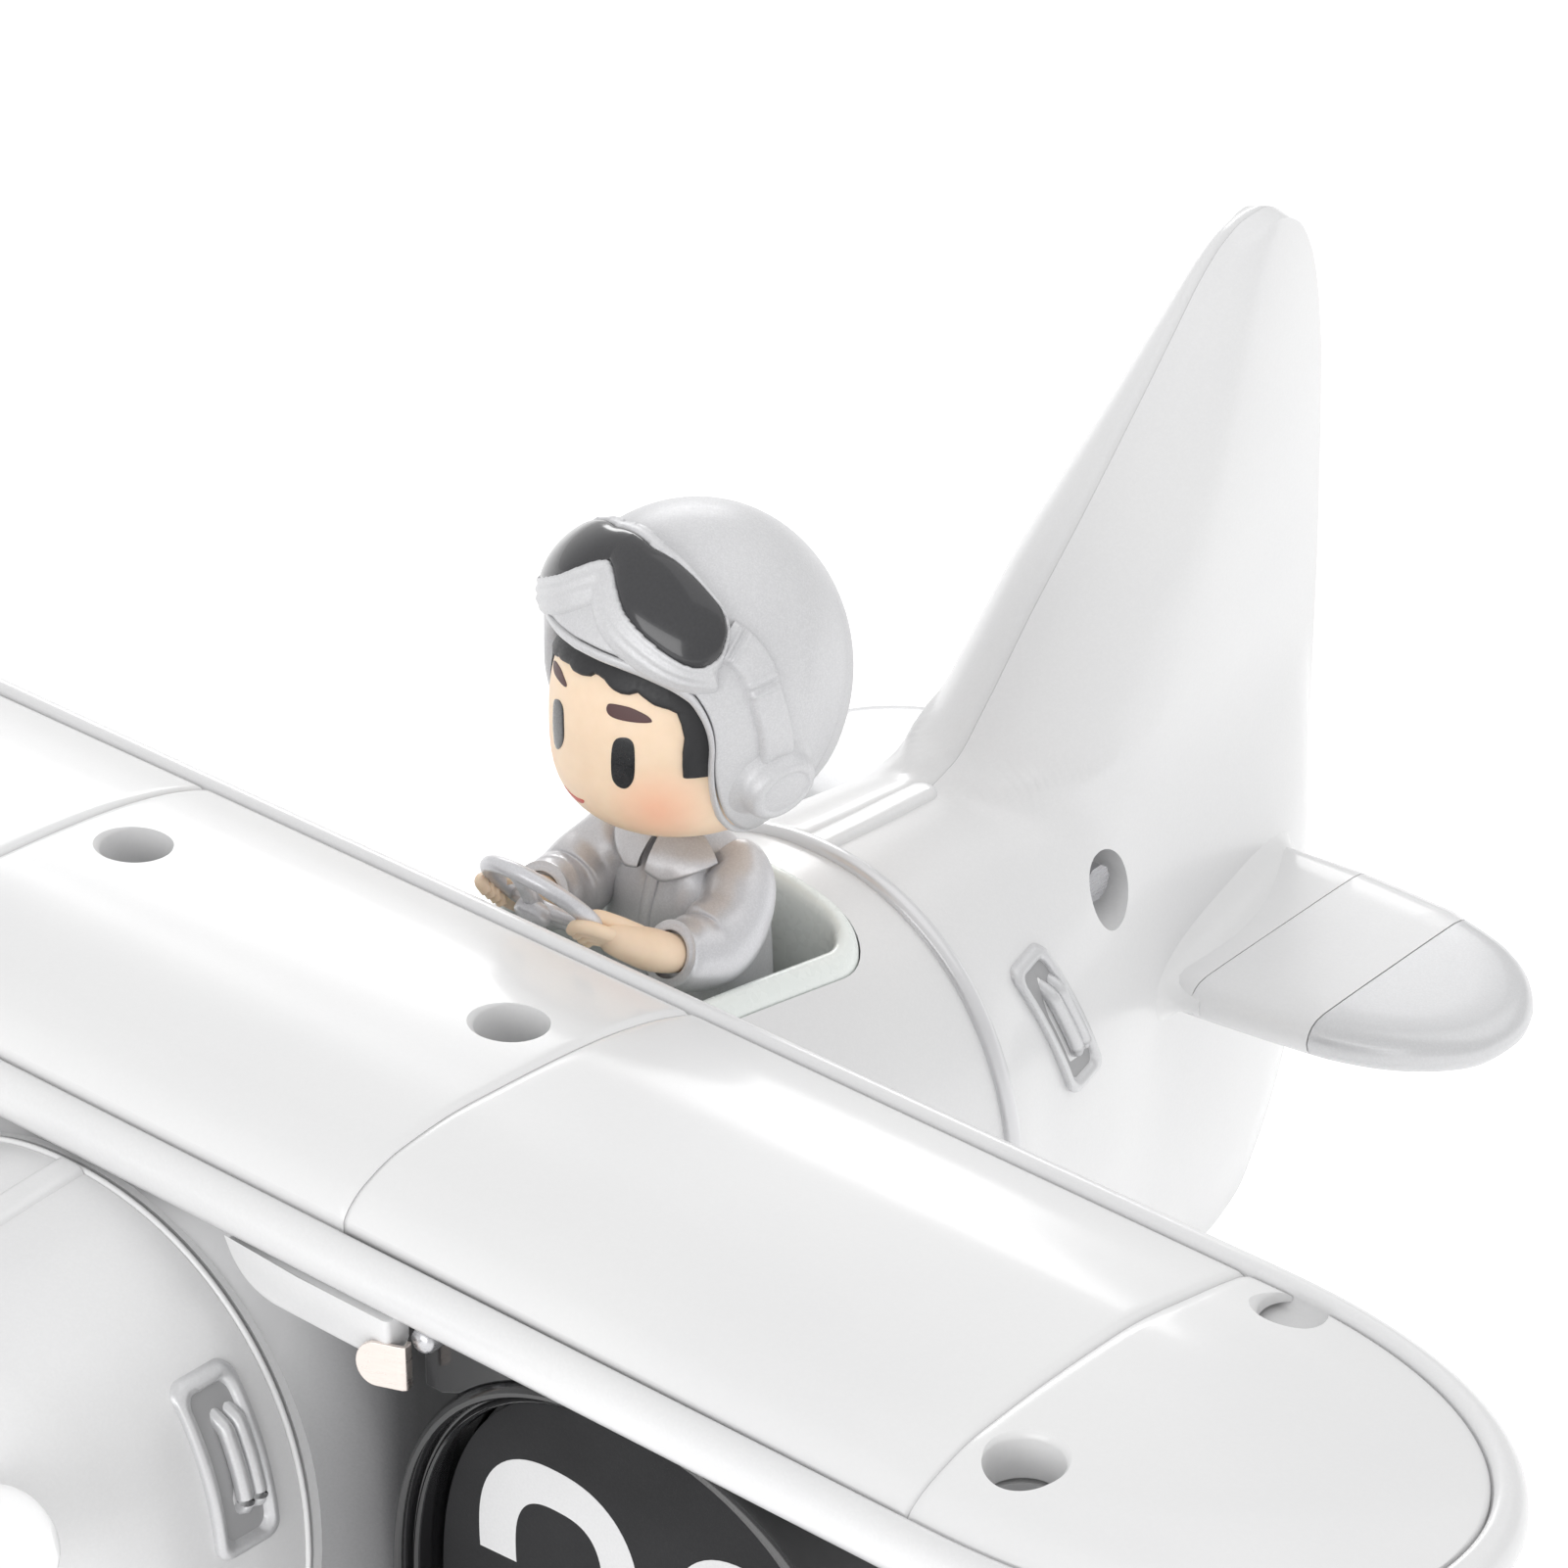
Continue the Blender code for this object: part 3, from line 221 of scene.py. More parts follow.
RUBBER = plastic("tyre_rubber", (0.028, 0.028, 0.029), 0.72, grain=0.1, gscale=1.5, gdist=0.03)
ACETAL = plastic("acetal", (0.74, 0.71, 0.63), 0.45, grain=0.05, gdist=0.01)
STEEL = metal("zinc_steel", (0.62, 0.62, 0.64), 0.28)
NICKEL = metal("nickel", (0.86, 0.78, 0.73), 0.3, brushed=(1, 1, 8))
# near-black for bores: painted shade in holes; not used
BORE_SHADE = plastic("bore_painted_shade", (0.05, 0.045, 0.04), 0.6)


def cheek_painted_shade_material():
    """Silver paint with painted shade and a painted reflection of the black pod: the base colour darkens with |x|
    towards the pod.
    """
    m, nt, b = new_mat("cheek_silver_painted_shade")
    v = coords(nt)
    sx = N(nt, "ShaderNodeSeparateXYZ")
    nt.links.new(v, sx.inputs[0])
    ab = N(nt, "ShaderNodeMath", operation="ABSOLUTE")
    nt.links.new(sx.outputs["X"], ab.inputs[0])
    n1 = N(nt, "ShaderNodeTexNoise", Scale=3.0, Detail=3.0)
    nt.links.new(v, n1.inputs["Vector"])
    t = N(nt, "ShaderNodeMath", operation="MULTIPLY_ADD")
    nt.links.new(n1.outputs["Fac"], t.inputs[0])
    t.inputs[1].default_value = 1.2
    nt.links.new(ab.outputs[0], t.inputs[2])
    # painted shade and painted reflection of the pod: colour ramps from silver to near black as |x| nears the pod
    c = ramp(nt, maprange(nt, t.outputs[0], 29.0, 46.0, 0, 1), [(0, (0.42, 0.42, 0.425)), (0.35, (0.26, 0.26, 0.265)), (0.8, (0.05, 0.05, 0.052)), (1, (0.025, 0.025, 0.026))])
    nt.links.new(c, b.inputs["Base Color"])
    b.inputs["Metallic"].default_value = 0.25
    nt.links.new(maprange(nt, n1.outputs["Fac"], 0.3, 0.7, 0.34, 0.44), b.inputs["Roughness"])
    nt.links.new(bump(nt, n1.outputs["Fac"], 0.3, 0.00001), b.inputs["Normal"])
    return m


CHEEK_SHADED = cheek_painted_shade_material()


# ------------------------------------------------------------------ mesh helpers
def mesh_obj(name, verts, faces, mat, body=None, replaces=(), angle=35.0, slot=None, subsurf=0, bevel=None):
    me = bpy.data.meshes.new(name)
    me.from_pydata([tuple(P(*v)) for v in verts], [], faces)
    me.validate()
    bm = bmesh.new()
    bm.from_mesh(me)
    bmesh.ops.remove_doubles(bm, verts=bm.verts, dist=1e-7)
    bmesh.ops.recalc_face_normals(bm, faces=bm.faces)
    bm.to_mesh(me)
    bm.free()
    ob = bpy.data.objects.new(name, me)
    SC.collection.objects.link(ob)
    if mat:
        me.materials.append(mat)
    me.shade_smooth()
    if bevel:
        m = ob.modifiers.new("bevel", "BEVEL")
        m.width, m.segments, m.limit_method, m.angle_limit = bevel / 1000, 3, "ANGLE", math.radians(35)
        m.use_clamp_overlap = True
    if subsurf:
        m = ob.modifiers.new("sub", "SUBSURF")
        m.levels = m.render_levels = subsurf
    if angle and not subsurf:
        me.set_sharp_from_angle(angle=math.radians(angle))
    finish_piece(ob, body, replaces)
    return ob


def finish_piece(ob, body, replaces=()):
    if body:
        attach(ob, body)
    if replaces:
        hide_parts(*replaces)


def skin(rings, loop=False, closed=True, caps=True):
    n, m = len(rings[0]), len(rings)
    verts = [tuple(p) for r in rings for p in r]
    faces = []
    for i in range(m if loop else m - 1):
        a, b = i * n, ((i + 1) % m) * n
        for k in range(n if closed else n - 1):
            j = (k + 1) % n
            faces.append((a + k, a + j, b + j, b + k))
    if caps and not loop:
        faces.append(tuple(range(n))[::-1])
        faces.append(tuple(range((m - 1) * n, m * n)))
    return verts, faces


def apply_mods(ob):
    dg = bpy.context.evaluated_depsgraph_get()
    e = ob.evaluated_get(dg)
    me = bpy.data.meshes.new_from_object(e)
    ob.modifiers.clear()
    old = ob.data
    ob.data = me
    bpy.data.meshes.remove(old)
    return ob


def cut(ob, *cutters, op="DIFFERENCE", angle=32.0):
    for c in cutters:
        m = ob.modifiers.new("cut", "BOOLEAN")
        m.operation, m.solver, m.object = op, "EXACT", c
        bpy.context.view_layer.update()
        apply_mods(ob)
        bpy.data.objects.remove(c)
    ob.data.shade_smooth()
    ob.data.set_sharp_from_angle(angle=math.radians(angle))
    return ob


def ellipse(a, b, n, power=2.0, start=0.0):
    out = []
    for i in range(n):
        t = start + 2 * math.pi * i / n
        c, s = math.cos(t), math.sin(t)
        out.append((a * math.copysign(abs(c) ** (2 / power), c), b * math.copysign(abs(s) ** (2 / power), s)))
    return out


def turned(profile, axis, centre, n=64):
    rings = []
    for i in range(n):
        t = 2 * math.pi * i / n
        ring = []
        for r, s in profile:
            p = {"X": (s, r * math.cos(t), r * math.sin(t)), "Y": (r * math.cos(t), s, r * math.sin(t)), "Z": (r * math.cos(t), r * math.sin(t), s)}[axis]
            ring.append((centre[0] + p[0], centre[1] + p[1], centre[2] + p[2]))
        rings.append(ring)
    return skin(rings, loop=True)


def smooth_profile(pts, n=6, r=None):
    """Rounds the corners of a closed (radius, along) outline by Chaikin's corner cutting."""
    for _ in range(2):
        out = []
        for i in range(len(pts)):
            a, b = pts[i], pts[(i + 1) % len(pts)]
            out.append((a[0] * 0.75 + b[0] * 0.25, a[1] * 0.75 + b[1] * 0.25))
            out.append((a[0] * 0.25 + b[0] * 0.75, a[1] * 0.25 + b[1] * 0.75))
        pts = out
    return pts


def cyl(r, length, axis, c, n=40, r2=None):
    prof = [(0.0001, -length / 2), (r, -length / 2), (r if r2 is None else r2, length / 2), (0.0001, length / 2)]
    return turned(prof, axis, c, n)


def tool(verts, faces):
    """A cutter: made, used and removed."""
    return mesh_obj("cutter", verts, faces, None, angle=0)


def box_vf(x0, x1, y0, y1, z0, z1):
    v = [(x, y, z) for x in (x0, x1) for y in (y0, y1) for z in (z0, z1)]
    f = [(0, 1, 3, 2), (4, 6, 7, 5), (0, 4, 5, 1), (2, 3, 7, 6), (0, 2, 6, 4), (1, 5, 7, 3)]
    return v, f


def limb_vf(pts, radii, n=20, flat=1.0, caps=True):
    rings = []
    for i, p in enumerate(pts):
        a = Vector(pts[max(i - 1, 0)])
        b = Vector(pts[min(i + 1, len(pts) - 1)])
        d = (b - a).normalized()
        u = d.cross(Vector((0, 0, 1)))
        u = u.normalized() if u.length > 1e-6 else Vector((1, 0, 0))
        w = u.cross(d)
        rings.append([tuple(Vector(p) + u * (math.cos(2 * math.pi * k / n) * radii[i]) + w * (math.sin(2 * math.pi * k / n) * radii[i] * flat)) for k in range(n)])
    return skin(rings, caps=caps)


def spline_pts(pts, n):
    """Catmull-Rom through control points; each may hold any number of values."""
    out = []
    k = len(pts)
    for i in range(n):
        t = i / (n - 1) * (k - 1)
        j = min(int(t), k - 2)
        u = t - j
        p0, p1, p2, p3 = (pts[max(j - 1, 0)], pts[j], pts[j + 1], pts[min(j + 2, k - 1)])
        out.append(tuple(0.5 * (2 * b + (c - a) * u + (2 * a - 5 * b + 4 * c - d) * u * u + (3 * b - a - 3 * c + d) * u ** 3) for a, b, c, d in zip(p0, p1, p2, p3)))
    return out


# ------------------------------------------------------------------ shape of the airframe
RING_F, RING_R, TAIL_END, NOSE_END, WALL = -61.4, 65.0, 166.4, -100.0, 2.2
WING_X0, WING_A, WING_Y0, WING_B, WING_N = 118.0, 47.0, -29.7, 32.0, 2.25
POD_X, POD_Z, POD_W, POD_H, POD_N = 76.75, -46.0, 34.5, 38.9, 2.3
POD_Y0, POD_Y1, CARD_Y, SPOOL_Y = -56.0, -15.0, -52.6, -36.0
LEAF_W, LEAF_H = 30.6, 35.4
PROP_Z, PROP_Y = -38.5, -107.0
GEAR_Y, AXLE_Z, WHEEL_R = -60.0, -114.0, 20.0
TAILW_Y, TAILW_Z, TAILW_R = 128.0, -126.0, 8.0

HALF_W = [(-100, 12), (-97.5, 20), (-93, 26.5), (-86, 30.8), (-76, 33), (-61.4, 33.8), (0, 33.4), (65, 32.4), (76, 29.5), (95, 25), (112, 19.5), (135, 14.5), (149, 11), (158, 8), (163, 5), (166.4, 1.6)]
TOP = [(-100, -26.5), (-97.5, -18.5), (-93, -12.2), (-86, -8.6), (-76, -7.3), (-61.4, -6.9), (-30, -9), (0, -13.5), (30, -18.5), (55, -23), (65, -24.2), (76, -25.3), (88, -26.3), (110, -29), (166.4, -33)]
BELLY = [(-100, -50.5), (-97.5, -58.5), (-93, -64.8), (-86, -69.5), (-76, -73.5), (-61.4, -75.8), (0, -87.2), (65, -99.2), (90, -106), (111, -111.5), (130, -116), (140, -118), (148, -117), (155, -112), (161, -105), (165, -97), (166.4, -90)]
SPINE = [(88, -26.2), (93, -24.4), (98, -19.8), (108, -9.2), (117.5, 0.0), (126.5, 9.2), (135.4, 18.6), (141.7, 25.2), (146, 28.3), (150, 29.8), (154, 30), (158.5, 28), (162.5, 22.5), (165.2, 14), (166.4, 6)]
FIN_LE = [(-40, 78.0), (-26.2, 88), (-24.4, 93), (-19.8, 98), (-9.2, 108), (0.0, 117.5), (9.2, 126.5), (18.6, 135.4), (25.2, 141.7), (28.3, 146), (30, 152)]
FIN_W = [(-60, 13.5), (-30, 14.5), (-9.5, 12.5), (0, 10.6), (8, 8.6), (18, 6.2), (25.5, 4.2), (30, 2.6)]


def section(y):
    a, t, b = interp(y, HALF_W), interp(y, TOP), interp(y, BELLY)
    return a, (t + b) / 2, (t - b) / 2


def body_x(y, z, grow=0.0):
    a, c, b = section(y)
    a, b = a + grow, b + grow
    u = abs((z - c) / b)
    return a * (1 - u ** 2.15) ** (1 / 2.15) if u < 1 else 0.0


def fin_x(y, z):
    le = interp(z, FIN_LE)
    w = interp(z, FIN_W)
    chord = TAIL_END - le
    t = (y - le) / chord
    if t <= 0 or t >= 1.001 or z > 30:
        return 0.0
    t = min(t, 1.0)
    lead = min(1.0, t / 0.30)
    nose = math.sqrt(max(0.0, 1 - (1 - lead) ** 2)) ** 1.15
    rear = 1.0 if t < 0.30 else 1 - 0.84 * ((t - 0.30) / 0.70) ** 1.35
    return w * nose * rear


def tail_x(y, z):
    k = 5.0
    a, b = body_x(y, z), fin_x(y, z)
    if a <= 0 or b <= 0:
        return max(a, b)
    return (a ** k + b ** k) ** (1 / k)


def spine_z(y):
    return max(interp(y, TOP), interp(y, SPINE)) if y > 88 else interp(y, TOP)


def top_at(x, y):
    a, c, b = section(y)
    return c + b * (1 - min(abs(x) / a, 0.999) ** 2.15) ** (1 / 2.15)


# ------------------------------------------------------------------ tail
def tail_piece(name, side):
    m = 110
    ys = []
    for i in range(m):
        s = i / (m - 1)
        ys.append(RING_R + 1.6 + (TAIL_END - RING_R - 1.6) * (1 - (1 - s) ** 1.35 if s > 0 else 0))
    n = 72
    rings = []
    for y in ys:
        zb, zt = interp(y, BELLY), spine_z(y)
        ring = []
        for k in range(n):
            s = k / (n - 1)
            u = 0.5 - 0.5 * math.cos(math.pi * s)
            z = zb + (zt - zb) * (0.35 * s + 0.65 * u)
            h = tail_x(y, z) if 0 < k < n - 1 else 0.0
            ring.append((side * max(h, 0.06), y, z))
        rings.append(ring + [(0.02 * side, y, zt - 0.25), (0.02 * side, y, zb + 0.25)])
    ob = mesh_obj(name, *skin(rings), PEARL2, angle=0)
    return ob


tl = tail_piece("tail_left_skin", 1)
cut(tl, tool(*turned([(0.001, 12.0), (4.75, 12.0), (4.75, 60), (0.001, 60)], "X", (0, 101.5, -40.5), 48)))
finish_piece(tl, "airframe", ["tail_left_shell"])
tr = tail_piece("tail_right_skin", -1)
finish_piece(tr, "airframe", ["tail_right_shell"])


# ------------------------------------------------------------------ fuselage barrel and cowl
def rounded(cx, cy, hx, hy, r, n=5):
    out = []
    for qx, qy, a0 in ((1, 1, 0), (-1, 1, 90), (-1, -1, 180), (1, -1, 270)):
        for k in range(n):
            t = math.radians(a0 + 90 * k / (n - 1))
            out.append((cx + qx * (hx - r) + r * math.cos(t), cy + qy * (hy - r) + r * math.sin(t)))
    return out


def barrel(name, side):
    y0, y1 = RING_F + 1.2, RING_R - 0.8
    rings = []
    for i in range(44):
        y = y0 + (y1 - y0) * i / 43
        a, c, b = section(y)
        out, inn = [], []
        for k in range(49):
            t = -math.pi / 2 + math.pi * k / 48
            ct, st = max(math.cos(t), 0.0), math.sin(t)
            ex = 2 / 2.15
            out.append((side * max(a * ct ** ex, 0.02), y, c + b * math.copysign(abs(st) ** ex, st)))
            inn.append((side * max((a - WALL) * ct ** ex, 0.02), y, c + (b - WALL) * math.copysign(abs(st) ** ex, st)))
        rings.append(out + inn[::-1])
    ob = mesh_obj(name, *skin(rings), PEARL2, angle=0)
    oc = tool(*skin([[(x, y, -60) for x, y in rounded(0, 31.5, 19.0, 25.0, 8.3, 12)], [(x, y, 10) for x, y in rounded(0, 31.5, 19.0, 25.0, 8.3, 12)]]))
    hc = tool(*box_vf(-20.0, 20.0, 1.0, 60.0, -120, -72.0))
    cut(ob, oc, hc, angle=30)
    return ob


finish_piece(barrel("fuselage_left_skin", 1), "airframe", ["fuselage_left_shell"])
finish_piece(barrel("fuselage_right_skin", -1), "airframe", ["fuselage_right_shell"])


def cowl():
    def ring(y, g):
        a, c, b = section(y)
        return [(p[0], y, c + p[1]) for p in ellipse(a + g, b + g, 96, 2.15)]
    ys = [RING_F - 0.2 - (abs(NOSE_END) - 61.6) * (1 - (1 - i / 41) ** 1.6) for i in range(42)]
    rings = [ring(y, 0) for y in ys]
    rings += [[(p[0], NOSE_END - 0.3, PROP_Z + p[1]) for p in ellipse(r, r, 96)] for r in (11.0, 9.0, 7.2)]
    rings += [[(p[0], NOSE_END + 0.3, PROP_Z + p[1]) for p in ellipse(6, 6, 96)], [(p[0], NOSE_END + 2.2, PROP_Z + p[1]) for p in ellipse(6, 6, 96)]]
    rings += [ring(y, -WALL) for y in (-96, -92, -86, -78, RING_F - 0.2)]
    return mesh_obj("nose_cowl_skin", *skin(rings, loop=True), PEARL2, "airframe", ["nose_cowl"], slot="pearl", angle=50)


cowl()


def bead(name, y, half, proud, replaces, mat=None, slot="silver"):
    prof = [(half * math.cos(t), -0.25 + (proud + 0.25) * max(0, math.sin(t)) ** 0.8) for t in [math.pi * (1 - k / 12) for k in range(13)]]
    prof = [(-half, -1.0)] + prof + [(half, -1.0)]
    nn = 160
    els = []
    for s, g in prof:
        a, c, b = section(y + s)
        els.append([(p[0], y + s, c + p[1]) for p in ellipse(a + g, b + g, nn, 2.15)])
    rings = [[els[j][i] for j in range(len(prof))] for i in range(nn)]
    return mesh_obj(name, *skin(rings, loop=True), mat or TRIM, "airframe", replaces, slot=slot, angle=60)


bead("rear_bead", RING_R, 1.45, 1.15, [])
bead("front_bead", RING_F + 0.3, 0.42, 0.34, [], PEARL, "pearl")


def strip(name, y0, y1, half, top, mat, replaces):
    rings = []
    L = abs(y1 - y0)
    sg = 1 if y1 > y0 else -1
    m = 60
    for i in range(m):
        s = L * (1 - (1 - i / (m - 1)) ** 1.5)
        y = y0 + sg * s
        d = L - s
        w = half if d > half else math.sqrt(max(0.0004, half ** 2 - (half - d) ** 2))
        z = interp(y, TOP)
        hh = top * min(1, (w / half) ** 0.7)
        prof = []
        for k in range(13):
            u = -1 + 2 * k / 12
            prof.append((u * w, y, z - 0.35 + (hh + 0.35) * (1 - abs(u) ** 5)))
        rings.append([(-w, y, z - 0.8)] + prof + [(w, y, z - 0.8)])
    return mesh_obj(name, *skin(rings), mat, "airframe", replaces, slot="pearl", angle=50)


strip("tail_spine", RING_R + 0.8, 88.0, 2.25, 0.75, PEARL2, ["rear_trim_ring"])
strip("nose_spine", RING_F - 0.2, -91.0, 2.25, 0.75, PEARL2, ["front_trim_ring"])


# ------------------------------------------------------------------ vents
def vent(name, y, z0, z1, half, side, fn, yslope, mat, replaces):
    """Rounded rectangular frame, a recess inside it and two bars, wrapped on the flank."""
    zc, hz = (z0 + z1) / 2, (z1 - z0) / 2

    def place(u, v, h):
        zz = zc + v * hz
        yy = y + u * half + yslope * (v / 2)
        return (side * (fn(yy, zz) + h), yy, zz)

    def rr(hu, hv, r, n=10):
        pts = []
        for qx, qy, a0 in ((1, 1, 0), (-1, 1, 90), (-1, -1, 180), (1, -1, 270)):
            for k in range(n):
                t = math.radians(a0 + 90 * k / (n - 1))
                pts.append((qx * (hu - r) + r * math.cos(t), qy * (hv - r) + r * math.sin(t)))
        dense = []
        for i in range(len(pts)):
            a, b = pts[i], pts[(i + 1) % len(pts)]
            m = max(1, int(math.hypot(a[0] - b[0], a[1] - b[1]) / 1.0))
            for j in range(m):
                dense.append((a[0] + (b[0] - a[0]) * j / m, a[1] + (b[1] - a[1]) * j / m))
        return dense

    def frame_ring(inset, h):
        return [place(px / half, py / hz, h) for px, py in [(p[0] * (half - inset) / half, p[1] * (hz - inset) / hz) for p in rr(half, hz, 1.8)]]

    rings = [frame_ring(0.0, -0.3), frame_ring(0.0, 0.55), frame_ring(0.25, 0.95), frame_ring(0.7, 1.1), frame_ring(1.15, 1.0), frame_ring(1.5, 0.6), frame_ring(1.7, 0.18)]
    last = rings[-1]
    v, f = skin(rings)
    # recess floor in the darker grey: painted shade
    mesh_obj(name + "_floor", *skin([frame_ring(1.2, -0.3), frame_ring(1.2, 0.2), frame_ring(2.4, 0.2)]), VENT_RECESS_SHADE, "airframe", slot="silver", angle=50)
    ob = mesh_obj(name, v, f, mat, "airframe", replaces, slot="silver", angle=50)
    for j, u in enumerate((0.0, 0.44)):
        pts, rad = [], []
        for i in range(24):
            s = i / 23
            v_ = -0.54 + 1.08 * s
            lift = 1.9 * min(1, math.sin(math.pi * s) * 3.2) - 1.3
            pts.append(place(u, v_, lift + 0.25))
            rad.append(0.98)
        mesh_obj(name + "_bar_%d" % j, *limb_vf(pts, rad, 14), mat, "airframe", slot="silver", angle=50)
    return ob


for side, tag in ((1, "left"), (-1, "right")):
    vent("rear_vent_frame_" + tag, 82.4, -57.8, -37.8, 4.4, side, tail_x, -7.5, SILVER, ["rear_vent_" + tag])
    vent("nose_vent_frame_" + tag, -69.6, -37.5, -18.0, 4.4, side, body_x, 0.8, SILVER, ["nose_vent_" + tag])


# ------------------------------------------------------------------ tail plane
def stab_outline(k=14):
    base = [(8, 150.0), (24, 151.8), (38, 151.6), (48.7, 148.4), (55.3, 143.6), (59.2, 137.5), (60.0, 131.5), (58.3, 125.6), (52.2, 119.6), (44, 115.8), (34, 113.8), (22, 112.4), (8, 112.0)]
    out = []
    out += spline_pts(base[:3], 24)[:-1]
    out += spline_pts(base[2:11], 90)
    out += spline_pts(base[10:], 24)[1:]
    return out


def stab(name, side, x0, x1, mat, replaces, edge0=False, edge1=False):
    z0, th = -61.2, 2.75
    prof = [(3.6, -1.0), (2.2, -0.95), (1.1, -0.76), (0.3, -0.42), (0.0, 0.0), (0.3, 0.42), (1.1, 0.76), (2.2, 0.95), (4.0, 1.04), (8, 1.06), (14, 1.07)]
    rings = []
    for inset, dz in prof:
        ring = []
        for x, y in stab_outline():
            cx, cy = 30, 131.5
            d = math.hypot(x - cx, y - cy)
            k = max(d - inset, 0.4) / d
            xx, yy = cx + (x - cx) * k, cy + (y - cy) * k
            ring.append((side * xx, yy, z0 + th * dz))
        rings.append(ring)
    ob = mesh_obj(name, *skin(rings), mat, angle=0)
    cut(ob, tool(*box_vf(min(side * x0, side * x1), max(side * x0, side * x1), 90, 160, -80, -50)), op="INTERSECT", angle=40)
    b = ob.modifiers.new("edge", "BEVEL")
    b.width, b.segments, b.limit_method, b.angle_limit = 0.00035, 3, "ANGLE", math.radians(60)
    finish_piece(ob, "airframe", replaces)
    return ob


for side, tag in ((1, "left"), (-1, "right")):
    stab("tailplane_root_" + tag, side, 3.0, 23.4, PEARL, [tag + "_stabiliser"])
    stab("tailplane_panel_" + tag, side, 23.55, 40.25, PEARL2, [])
    stab("tailplane_tip_" + tag, side, 40.45, 70, SILVER, [tag + "_stabiliser_tip"])
    # root fillet that grows out of the flank
    rings = []
    zc = -61.2
    for j in range(15):
        q = j / 14
        rr_ = 5.2 * (1 - math.cos(q * math.pi / 2)) ** 1.0
        off = 5.2 * (1 - math.sin(q * math.pi / 2))
        ring = []
        for k in range(80):
            t = 2 * math.pi * k / 80
            e = ellipse(1, 1, 80, 2.6)[k]
            y = 131.2 + e[0] * (19.0 + off)
            z = zc + e[1] * (2.9 + off)
            ring.append((side * (tail_x(y, z) - 0.6 + 5.4 * q * q + rr_ * 0.12), y, z))
        rings.append(ring)
    mesh_obj("tailplane_fillet_" + tag, *skin(rings), PEARL, "airframe", slot="pearl", angle=60)


# ------------------------------------------------------------------ cockpit tub
COCK = (0.0, 31.5, 18.8, 24.8, 8.0)


def cock_ring(inset, lift, floor=None, n=12):
    cx, cy, hx, hy, r = COCK
    pts = rounded(cx, cy, hx - inset, hy - inset, max(r - inset, 1.5), n)
    dense = []
    for i in range(len(pts)):
        a, b = pts[i], pts[(i + 1) % len(pts)]
        m = max(1, int(math.hypot(a[0] - b[0], a[1] - b[1]) / 2.0))
        for j in range(m):
            dense.append((a[0] + (b[0] - a[0]) * j / m, a[1] + (b[1] - a[1]) * j / m))
    return [(x, y, (top_at(x, y) + lift) if floor is None else floor) for x, y in dense]


def same_count(rings, n=220):
    out = []
    for r in rings:
        L = [0.0]
        for i in range(len(r)):
            a, b = Vector(r[i]), Vector(r[(i + 1) % len(r)])
            L.append(L[-1] + (a - b).length)
        res = []
        j = 0
        for k in range(n):
            s = L[-1] * k / n
            while L[j + 1] < s:
                j += 1
            t = (s - L[j]) / max(L[j + 1] - L[j], 1e-9)
            a, b = Vector(r[j]), Vector(r[(j + 1) % len(r)])
            res.append(tuple(a + (b - a) * t))
        out.append(res)
    return out


tub = [cock_ring(4.6, 0, -44.0), cock_ring(4.2, 0, -43.6), cock_ring(3.9, 0, -41), cock_ring(3.2, -3.0), cock_ring(3.0, -0.6), cock_ring(2.8, 0.3), cock_ring(2.4, 0.9), cock_ring(1.8, 1.25), cock_ring(1.2, 1.25), cock_ring(0.6, 0.95), cock_ring(0.15, 0.3), cock_ring(0.0, -0.4), cock_ring(0.0, -3.5), cock_ring(2.0, 0, -46.0)]
mesh_obj("cockpit_liner", *skin(same_count(tub)), CREAM, "airframe", ["cockpit_tub"], slot="cockpit", angle=60)

# ------------------------------------------------------------------ upper wing
def wing_outline(inset, nt=80, cuts=40):
    pts = []
    for side in (1, -1):
        for k in range(nt):
            t = -math.pi / 2 + math.pi * k / (nt - 1)
            if side < 0:
                t += math.pi
            c, s = math.cos(t), math.sin(t)
            ex = 2 / WING_N
            pts.append((side * WING_X0 + (WING_A - inset) * math.copysign(abs(c) ** ex, c), WING_Y0 + (WING_B - inset) * math.copysign(abs(s) ** ex, s)))
        ye = WING_Y0 + side * (WING_B - inset)
        for i in range(1, cuts):
            pts.append((side * (WING_X0 - 2 * WING_X0 * i / cuts), ye))
    return pts


CROWN_C = [(-58.5, 0.0), (-57.6, 1.7), (-54.4, 4.1), (-49, 5.7), (-41, 6.2), (-33, 5.7), (-25, 5.0), (-17, 4.0), (-8.6, 2.2), (-0.5, -0.6)]
CROWN_T = [(-58.5, -0.3), (-54.2, 2.0), (-46.4, 3.8), (-36.6, 4.1), (-23.5, 3.7), (-9.7, 1.3), (-0.5, -0.9)]
EDGE = 3.9


def crown(x, y):
    ax = abs(x)
    if ax <= WING_X0:
        m = min(max((ax - 38) / 78.0, 0), 1)
        return interp(y, CROWN_C) * (1 - m) + interp(y, CROWN_T) * m
    u = (ax - WING_X0) / (WING_A - EDGE)
    v = (y - WING_Y0) / (WING_B - EDGE)
    rho = (abs(u) ** WING_N + abs(v) ** WING_N) ** (1 / WING_N)
    rho = min(rho, 1.0)
    w = 0.5 + 0.5 * (v / rho if rho > 1e-6 else 0)
    w = w * w * (3 - 2 * w)
    zf = interp(WING_Y0 - rho * (WING_B - EDGE), CROWN_T)
    zr = interp(WING_Y0 + rho * (WING_B - EDGE), CROWN_T)
    return zf * (1 - w) + zr * w


